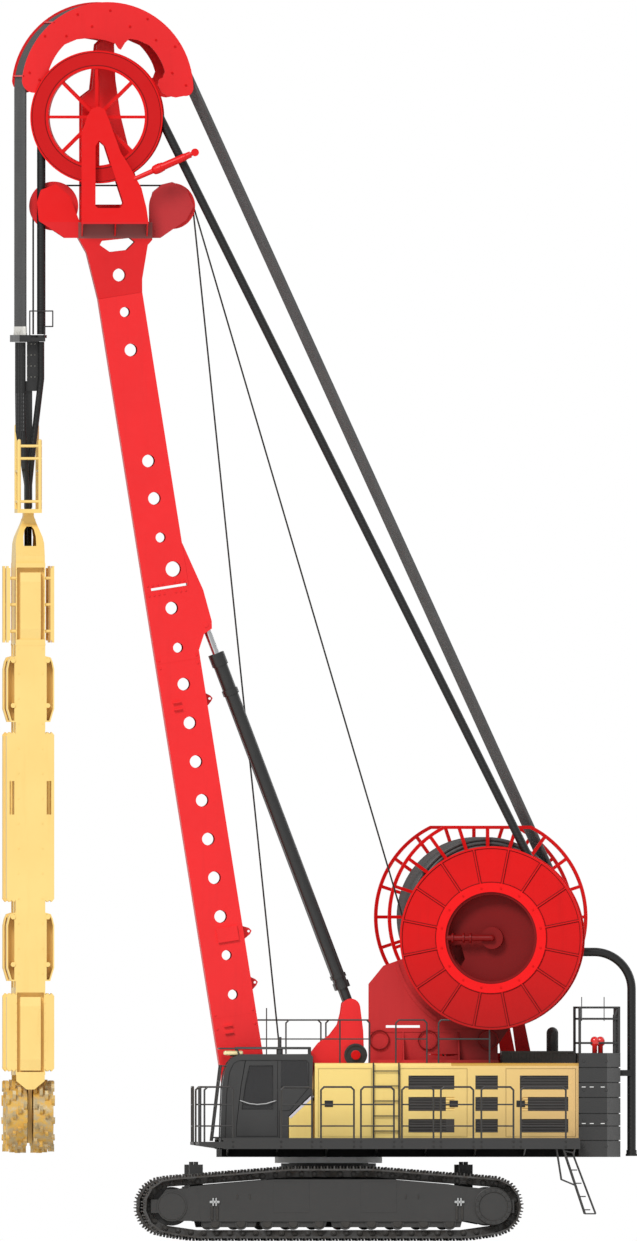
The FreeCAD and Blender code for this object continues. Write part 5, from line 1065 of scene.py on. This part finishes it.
def belt(inset):
    """The track's closed line round its wheels and bends, drawn in from the shoe faces."""
    flip = Vector((-1, 1, 1))
    rounds = [(WHEEL, WHEEL_R), (TOP_END, BEND_R), (TOP_END * flip, BEND_R),
              (WHEEL * flip, WHEEL_R), (GROUND_END * flip, BEND_R), (GROUND_END, BEND_R)]
    line = []
    for before, here, after in zip(rounds[-1:] + rounds, rounds, rounds[1:] + rounds[:1]):
        first, last = tangent_angle(before, here), tangent_angle(here, after)
        last += 2 * math.pi * (last < first - 1e-9)
        steps = max(2, int((last - first) / 0.06))
        line += [here[0] + Vector((math.cos(a), 0, math.sin(a))) * (here[1] - inset)
                 for a in (first + (last - first) * i / steps for i in range(steps + 1))]
    return line + line[:1]


def stepped(line, pitch):
    """Places every pitch metres along a line, from its start."""
    places, carry = [], 0.0
    for a, b in zip(line, line[1:]):
        span = (b - a).length
        while carry <= span:
            places.append(a.lerp(b, carry / span))
            carry += pitch
        carry -= span
    return places


shoe_line = belt(0.0)
shoe_length = sum((b - a).length for a, b in zip(shoe_line, shoe_line[1:]))
shoe_count = round(shoe_length / SHOE_PITCH)
joints = stepped(shoe_line, shoe_length / shoe_count)[:shoe_count]
pin_places = [(p.x, p.z) for p in stepped(belt(CHAIN_LINE), SHOE_PITCH)[:-1]]
roller_places = [(-2.35 + 0.522 * i, ROLLER_Z) for i in range(10)]
drive_bolts = [polar(0.325, 20.0 * i, (WHEEL.x, WHEEL.z)) for i in range(18)]
for label, places, out, finish, radius, height, sides in (
        ("chain_pin_bosses", pin_places, CHAIN_HALF, latch_black, 0.058, 0.03, 20),
        ("chain_pins", pin_places, CHAIN_HALF + 0.028, shoe_steel, 0.03, 0.02, 16),
        ("roller_caps", roller_places, FRAME_HALF - 0.031, latch_black, 0.09, 0.022, 24),
        ("drive_bolts", drive_bolts, FRAME_HALF + 0.048, dark_grey, 0.017, 0.014, 6)):
    spread = [(x, y + way.y * out, z) for y in (-TRACK_Y, TRACK_Y) for *_, way in SIDES
              for x, z in places]
    facing = [way for _ in range(2) for *_, way in SIDES for _ in places]
    prisms(label, spread, facing, "undercarriage", "chassis_grey", finish, radius, height,
           sides=sides)

hangers = [(-2.62, -1.51), (-1.45, -0.10), (-0.04, 1.31), (1.37, 2.60)]
guards = [[(x0, 0.42), (x0 + 0.04, ROLLER_Z - 0.08), (x1 - 0.04, ROLLER_Z - 0.08), (x1, 0.42)]
          for x0, x1 in hangers]
yoke = [(-2.64, 0.40), (-3.32, 0.40), (-3.41, 0.50), (-3.41, 0.93), (-3.33, 1.03),
        (-2.70, 1.06)]
drive_arm = [(2.58, 0.42), (3.05, 0.33), (WHEEL.x, 0.40), (WHEEL.x, 0.99), (3.05, 1.05),
             (2.70, 1.08)]
CASE = [(0.384, 0.0), (0.384, 0.05), (0.362, 0.062), (0.362, 0.078), (0.292, 0.078),
        (0.286, 0.055)]
for label, side, outward in SIDES:
    y = side * FRAME_Y
    steps = [(plate, (outline, *sorted((y + side * proud, y - side * depth))))
             for outlines, proud, depth in (((yoke, drive_arm), 0.006, 0.04),
                                            (guards, -0.05, 0.08)) for outline in outlines]
    steps += [(bevelled_box, ((x0, min(y, y + side * 0.005), 0.564),
                              (x0 + 0.72, max(y, y + side * 0.005), 1.184), 0.002, 1))
              for x0 in (-1.186, 0.564)]
    steps.append((lathed, (CASE, WHEEL + Vector((0, y - side * 0.03, 0)), outward, 72)))
    built("frame_ends_" + label, "undercarriage", "chassis_grey", dark_grey, *steps)
# The black rings on the drive case and the idler cover are painted shade in their grooves.
GROOVE_R = 0.006
for label, x, radii, out, steps in (("drive_case", WHEEL.x, (0.364, 0.289), 0.0485, 64),
                                    ("idler_cover", -WHEEL.x, (0.27,), 0.0315, 48)):
    tubes(label + "_groove_shade",
          [on_face(arc(radius, 0, 360, steps, (x, WHEEL.z)), side * (FRAME_Y + out), False)
           for radius in radii for _, side, _ in SIDES],
          GROOVE_R, "undercarriage", latch_black, steps=6)


# %% [markdown]
# ## Grousers
# A shoe grips the ground with several low ribs across it, called grousers. The solid has two to
# a shoe; the real shoe has twice as many, which gives the track its fine teeth. A tree puts one
# tapered bar, the cut end of a four-sided cone, at each place and turns it to the shoe's face.

# %% Two more grousers to a shoe
def grouser_tree():
    tree, value = new_tree("grousers", {"Foot": 0.026, "Crest": 0.018,
                                        "Height": GROUSER_HEIGHT, "Width": 0.9})
    foot, crest = [calc(tree, "DIVIDE", value[label], math.sqrt(2.0))
                   for label in ("Foot", "Crest")]
    bar = add(tree, "GeometryNodeMeshCone", {
        "Vertices": 4, "Radius Top": crest, "Radius Bottom": foot, "Depth": value["Height"]})
    squared = moved(tree, bar.outputs["Mesh"], Rotation=(0.0, 0.0, math.pi / 4))
    stretch = calc(tree, "DIVIDE", value["Width"], value["Foot"])
    size = add(tree, "ShaderNodeCombineXYZ", {"X": 1.0, "Y": stretch, "Z": 1.0})
    wide = moved(tree, squared, Scale=size.outputs[0])
    return closed(tree, value,
                  on_points(tree, value, wide, Rotation=to_face(tree, pivot_axis="Y")))


GROUSERS = grouser_tree()
EXTRA_SHARES = (0.46, 0.965)         # places along a shoe, as shares of its pitch
SINK = 0.004                         # metres each bar is let into the shoe
bar_places, bar_facing = [], []
for a, b in zip(joints, joints[1:] + joints[:1]):
    along = (b - a).normalized()
    outward = Vector((along.z, 0.0, -along.x))
    bar_places += [a.lerp(b, share) - outward * SINK for share in EXTRA_SHARES]
    bar_facing += [tuple(outward)] * len(EXTRA_SHARES)
for label, side, _ in SIDES:
    bars = points_mesh("grousers_" + label,
                       [p + Vector((0, side * TRACK_Y, 0)) for p in bar_places],
                       facing=bar_facing)
    baked(bars, GROUSERS, {"Foot": 0.028, "Crest": 0.018, "Height": GROUSER_HEIGHT,
                           "Width": 0.896, "Finish": shoe_steel},
          "undercarriage")


FITTING_XS, BRACKET_XS = (-2.36, 2.54), (-1.75, 1.62)
fitting_grey = paint("galvanised_fitting", "#B9BBBB", "#9A9C9C", roughness=0.4, dust=0.1)
fittings = [(FITTING_XS, span, height, 0.05, radius)
            for span, height, radius in (((-0.10, 0.10), (0.755, 0.805), 0.012),
                                         ((-0.045, -0.015), (0.70, 0.86), 0.008),
                                         ((0.015, 0.045), (0.70, 0.86), 0.008))]
brackets = [(FITTING_XS, span, (0.42, 0.70), 0.03, 0.01)
            for span in ((-0.075, -0.03), (0.03, 0.075))]
brackets += [(BRACKET_XS, span, (0.84, 0.93), 0.012, 0.005)
             for span in ((-0.17, -0.14), (0.08, 0.11))]
for label, side, _ in SIDES:
    for name, slot, finish, boxes in (
            ("frame_fittings_", "bearing_steel", fitting_grey, fittings),
            ("frame_brackets_", "chassis_grey", latch_black, brackets)):
        steps = []
        for xs, (a, b), (z0, z1), out, radius in boxes:
            low, high = sorted((side * FRAME_Y, side * (FRAME_Y + out)))
            steps += [(bevelled_box, ((x + a, low, z0), (x + b, high, z1), radius)) for x in xs]
        built(name + label, "undercarriage", slot, finish, *steps)

WALKWAY_EDGE_Y = 2.449
rail_feet = [x for pair in ((-2.57, -1.998), (-1.038, -0.418), (-0.238, 0.422), (0.562, 1.222),
                            (1.382, 2.014), (2.162, 2.812), (2.972, 3.614), (3.762, 4.662))
             for x in pair]
prisms_on_faces("rail_foot_bolts", [(x, z) for x in rail_feet[1:] for z in (1.885, 1.985)],
                WALKWAY_EDGE_Y, "upper", "chassis_grey", latch_black, 0.024, 0.012)
prisms("hose_winch_cap", [(0.526, -0.54, 3.72)], NEAR, "upper", "mast_red", reel_red, 0.095,
       0.02, sides=28)


# %% [markdown]
# ## The front of the cab
# The cab's corner posts are pressed in one sweep from the sill into the roof, so the cab has a
# round brow, and the windscreen is one bent sheet between them. The posts are plates cut to the
# sweep; the windscreen is a thin band that follows the same line.

# %% Posts and windscreen
CAB_NEAR, CAB_FAR, CAB_SHEET = -1.55, -0.60, 0.05
sweep = [(-2.225, 1.965), (-2.205, 2.55), (-2.184, 3.09), (-2.140, 3.38), (-2.075, 3.56),
         (-1.985, 3.665), (-1.880, 3.715), (-1.780, 3.733)]
solid_front = [(-1.795, 3.725), (-1.835, 3.68), (-2.05, 2.60), (-2.175, 1.965)]
FILLER = [(-1.90, 2.32), (-1.812, 3.10), (-1.722, 3.62), (-1.90, 3.62)]
built("cab_corner_posts", "upper", "chassis_grey", cab_grey,
      (plate, (sweep + solid_front, CAB_NEAR, CAB_NEAR + CAB_SHEET)),
      (plate, (sweep + solid_front, CAB_FAR - CAB_SHEET, CAB_FAR)),
      (plate, (FILLER, CAB_NEAR + 0.002, CAB_NEAR + 0.04)))
screen_line = [(x + 0.012, z - 0.004) for x, z in sweep]
screen_back = [(x + 0.020, z - 0.014) for x, z in reversed(screen_line)]
built("cab_windscreen", "upper", "glass", cab_glass,
      (plate, (screen_line + screen_back, CAB_NEAR + CAB_SHEET, CAB_FAR - CAB_SHEET)))


# %% [markdown]
# ## The front of the right house
# The right house ends behind the cab. The solid of it reaches further forward, so this piece is
# a copy of its outer shell, found by walking from its outermost corner, and cut off there.

# %% Right house
HOUSE_FRONT = -1.95
house_shape = copied("house_right")
outer_shell, waiting = set(), [max(house_shape.verts, key=lambda vert: vert.co.y)]
while waiting:
    vert = waiting.pop()
    if vert not in outer_shell:
        outer_shell.add(vert)
        waiting += [edge.other_vert(vert) for edge in vert.link_edges]
inner = [vert for vert in house_shape.verts if vert not in outer_shell]
bmesh.ops.delete(house_shape, geom=inner, context="VERTS")
cut(house_shape, (HOUSE_FRONT, 0, 0), (-1, 0, 0), clear_outer=True)
close_holes(house_shape)
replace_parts(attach(shown(house_shape, "house_right_shell", "house_yellow", house_yellow),
                    "upper"), "house_right")


# %% [markdown]
# ## Seals, rails and marks
# Black rubber seals frame each pane of the cab, and rails run along its roof and over the rear deck.
# The round ports in the reel stand have rolled rims, drawn in dark red as painted shade, the arm at
# the mast head has a turned cover, and gaps show between the courses of the counterweight.

# %% Seals, rails and marks
SEAL_Y, RAIL_R, RAIL_Z = CAB_NEAR - 0.002, 0.018, 3.85
SIDE_WINDOW = [(-2.125, 2.03), (-2.095, 2.95), (-2.035, 3.38), (-1.955, 3.555), (-1.87, 3.605),
               (-1.80, 3.612), (-0.50, 3.612), (-0.452, 3.56), (-0.452, 3.07), (-0.83, 2.62),
               (-1.045, 2.60), (-1.045, 2.03)]
tubes("cab_window_seals", [on_face(SIDE_WINDOW, SEAL_Y)], 0.009, "upper",
      latch_black, steps=8)
tubes("cab_door_seals", [on_face(DOOR_WINDOW, SEAL_Y)], 0.008, "cab_door",
      latch_black, steps=8)
near_run = [(x, CAB_NEAR + inset, RAIL_Z) for x, inset in ((-0.44, 0.03), (-2.20, 0.03),
                                                          (-2.23, 0.06))]
far_run = [(x, CAB_FAR - inset, RAIL_Z) for x, inset in ((-2.23, 0.06), (-2.20, 0.03),
                                                        (-0.44, 0.03))]
tubes("cab_roof_rail", [near_run + far_run], RAIL_R, "upper", railing_grey)
REAR_HOOP = [(2.15, 3.55), (2.15, 4.36), (2.20, 4.42), (3.12, 4.42), (3.17, 4.36), (3.17, 3.55)]
tubes("roof_rail_rear", [on_face(line, -1.47, False)
                         for line in (REAR_HOOP, [(2.15, 4.04), (3.17, 4.04)])],
      RAIL_R, "upper", railing_grey)
# The port rims are dark red for painted shade round the ports.
tubes("stand_port_rim_shade", [on_face(arc(0.19, 0, 354, 60, (x, 4.02)), -0.842)
                          for x in (0.99, 1.96, 3.17)],
      0.011, "upper", painted_shade_red, steps=8)
ARM_FOOT, ARM_TIP = Vector((-3.92, -0.76, 21.235)), Vector((-2.70, -0.80, 21.772))
ARM_FORM = [(0.046, 0.03), (0.050, 0.40), (0.088, 0.44), (0.098, 0.50), (0.098, 0.58),
            (0.078, 0.62), (0.073, 1.12), (0.052, 1.20)]
built("head_arm_cover", "mast", "mast_red", head_red,
      (lathed, (ARM_FORM, ARM_FOOT, ARM_TIP - ARM_FOOT)))
pale_gap = paint("pale_course_gap", "#F2F2F0", "#DCDCD8", roughness=0.6, dust=0.0, coat=0.0)
built("counterweight_gap_marks", "upper", "chassis_grey", pale_gap,
      *[(bevelled_box, ((x - 0.04, -1.603, z - 0.008), (x + 0.04, -1.598, z + 0.008), 0.002, 1))
        for z in (3.08, 2.35) for x in (5.05, 5.21, 5.43)])


# %% [markdown]
# ## The driver's seat
# The seat shows faintly through the glass. Its cushions are foam under stretched cloth: they
# crown in the middle and pull in at the corners. Each is a dense box whose points are pushed
# out by how far they are from the edges, which is quick, needs no simulation, and stays inside
# the room the CAD seat holds. The pedestal and consoles are moulded, with rounded edges.

# %% Cushions
def cushion(name, low, high, crown, grid=14):
    """A crowned foam cushion that fills a box."""
    low, high = Vector(low), Vector(high)
    middle, half = (low + high) / 2, (high - low) / 2
    shape = bmesh.new()
    bmesh.ops.create_cube(shape, size=2.0)
    bmesh.ops.subdivide_edges(shape, edges=shape.edges[:], cuts=grid, use_grid_fill=True)
    for vert in shape.verts:
        unit = Vector(vert.co)
        rounded = unit / sum(abs(c) ** 6 for c in unit) ** (1 / 6)
        swell = [1 - crown * (rounded[(a + 1) % 3] ** 2 + rounded[(a + 2) % 3] ** 2) / 2
                 for a in range(3)]
        vert.co = middle + Vector(half[a] * rounded[a] * swell[a] for a in range(3))
    thing = shown(shape, name, "seat_fabric", seat_cloth, smooth=True)
    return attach(thing, "upper")


seat_low, seat_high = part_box("operator_seat")
SEAT_MID_Y, SEAT_HALF = (seat_low.y + seat_high.y) / 2, 0.23
for name, x0, x1, z0, z1, crown in (("seat_squab", -1.43, -1.09, 2.345, 2.47, 0.16),
                                    ("seat_back", -1.08, -0.965, 2.46, 3.05, 0.14)):
    cushion(name, (x0, SEAT_MID_Y - SEAT_HALF, z0), (x1, SEAT_MID_Y + SEAT_HALF, z1), crown)
LEVER = [(0.03, 0.0), (0.012, 0.03), (0.012, 0.1), (0.026, 0.13), (0.022, 0.17)]
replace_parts(built(
    "seat_frame", "upper", "seat_fabric", latch_black,
    (bevelled_box, ((-1.33, -1.20, 1.95), (-1.08, -0.96, 2.31), 0.02)),
    (bevelled_box, ((-1.56, -1.44, 2.38), (-1.06, -1.33, 2.52), 0.03)),
    (bevelled_box, ((-1.56, -0.83, 2.38), (-1.06, -0.72, 2.52), 0.03)),
    (bevelled_box, ((-1.56, -1.44, 2.30), (-1.06, -0.72, 2.345), 0.012)),
    *[(lathed, (LEVER, (-1.5, y, 2.515), UP)) for y in (-1.385, -0.775)]), "operator_seat")


# %% [markdown]
# ## Floor, light and background
# The machine is shown on a plain pale floor under soft studio light. Two broad suns and an
# even sky give each surface about its written colour. The camera sees pure white behind it,
# also through glass: Light Path tells those rays apart from the ones that only carry light,
# so the white never adds light to the machine. Gloss mirrors the even sky, which is darker.

# %% Studio
def white_to_the_eye(tree, lit, strength=1.0):
    """Mix a shader that lights the scene with plain white for camera and glass rays."""
    path = add(tree, "ShaderNodeLightPath")
    seen = add(tree, "ShaderNodeMath", {0: path.outputs["Is Camera Ray"],
                                        1: path.outputs["Is Transmission Ray"]},
               operation="MAXIMUM")
    white = add(tree, "ShaderNodeBackground", {"Color": (1, 1, 1, 1), "Strength": strength})
    return add(tree, "ShaderNodeMixShader", {0: seen.outputs[0], 1: lit, 2: white.outputs[0]})


world = bpy.data.worlds.new("studio")
bpy.context.scene.world = world
world.use_nodes = True
sky = world.node_tree
sky.nodes.clear()
even = add(sky, "ShaderNodeBackground", {"Color": (1, 1, 1, 1), "Strength": 0.55})
mixed = white_to_the_eye(sky, even.outputs[0])
add(sky, "ShaderNodeOutputWorld", {"Surface": mixed.outputs[0]})

for name, direction, strength, angle in (("key_sun", (0.35, 0.80, -0.62), 1.75, 20.0),
                                         ("fill_sun", (-0.7, -0.5, -0.5), 0.5, 40.0)):
    lamp = bpy.data.lights.new(name, "SUN")
    lamp.energy = strength
    lamp.angle = math.radians(angle)
    sun = bpy.data.objects.new(name, lamp)
    sun.rotation_euler = Vector(direction).to_track_quat("-Z", "Y").to_euler()
    bpy.context.scene.collection.objects.link(sun)
    print(name, strength)

floor_mesh = bpy.data.meshes.new("floor")
reach = 60.0
floor_mesh.from_pydata([(-reach, -reach, 0), (reach, -reach, 0), (reach, reach, 0),
                        (-reach, reach, 0)], [], [(0, 1, 2, 3)])
floor = bpy.data.objects.new("floor", floor_mesh)
bpy.context.scene.collection.objects.link(floor)
floor_material = bpy.data.materials.new("pale_floor")
floor_material.use_nodes = True
floor_tree = floor_material.node_tree
floor_tree.nodes["Principled BSDF"].inputs["Base Color"].default_value = colour("#F1F1EF")
floor_tree.nodes["Principled BSDF"].inputs["Roughness"].default_value = 0.8
floor_mesh.materials.append(floor_material)
bpy.context.scene.view_settings.view_transform = "Standard"
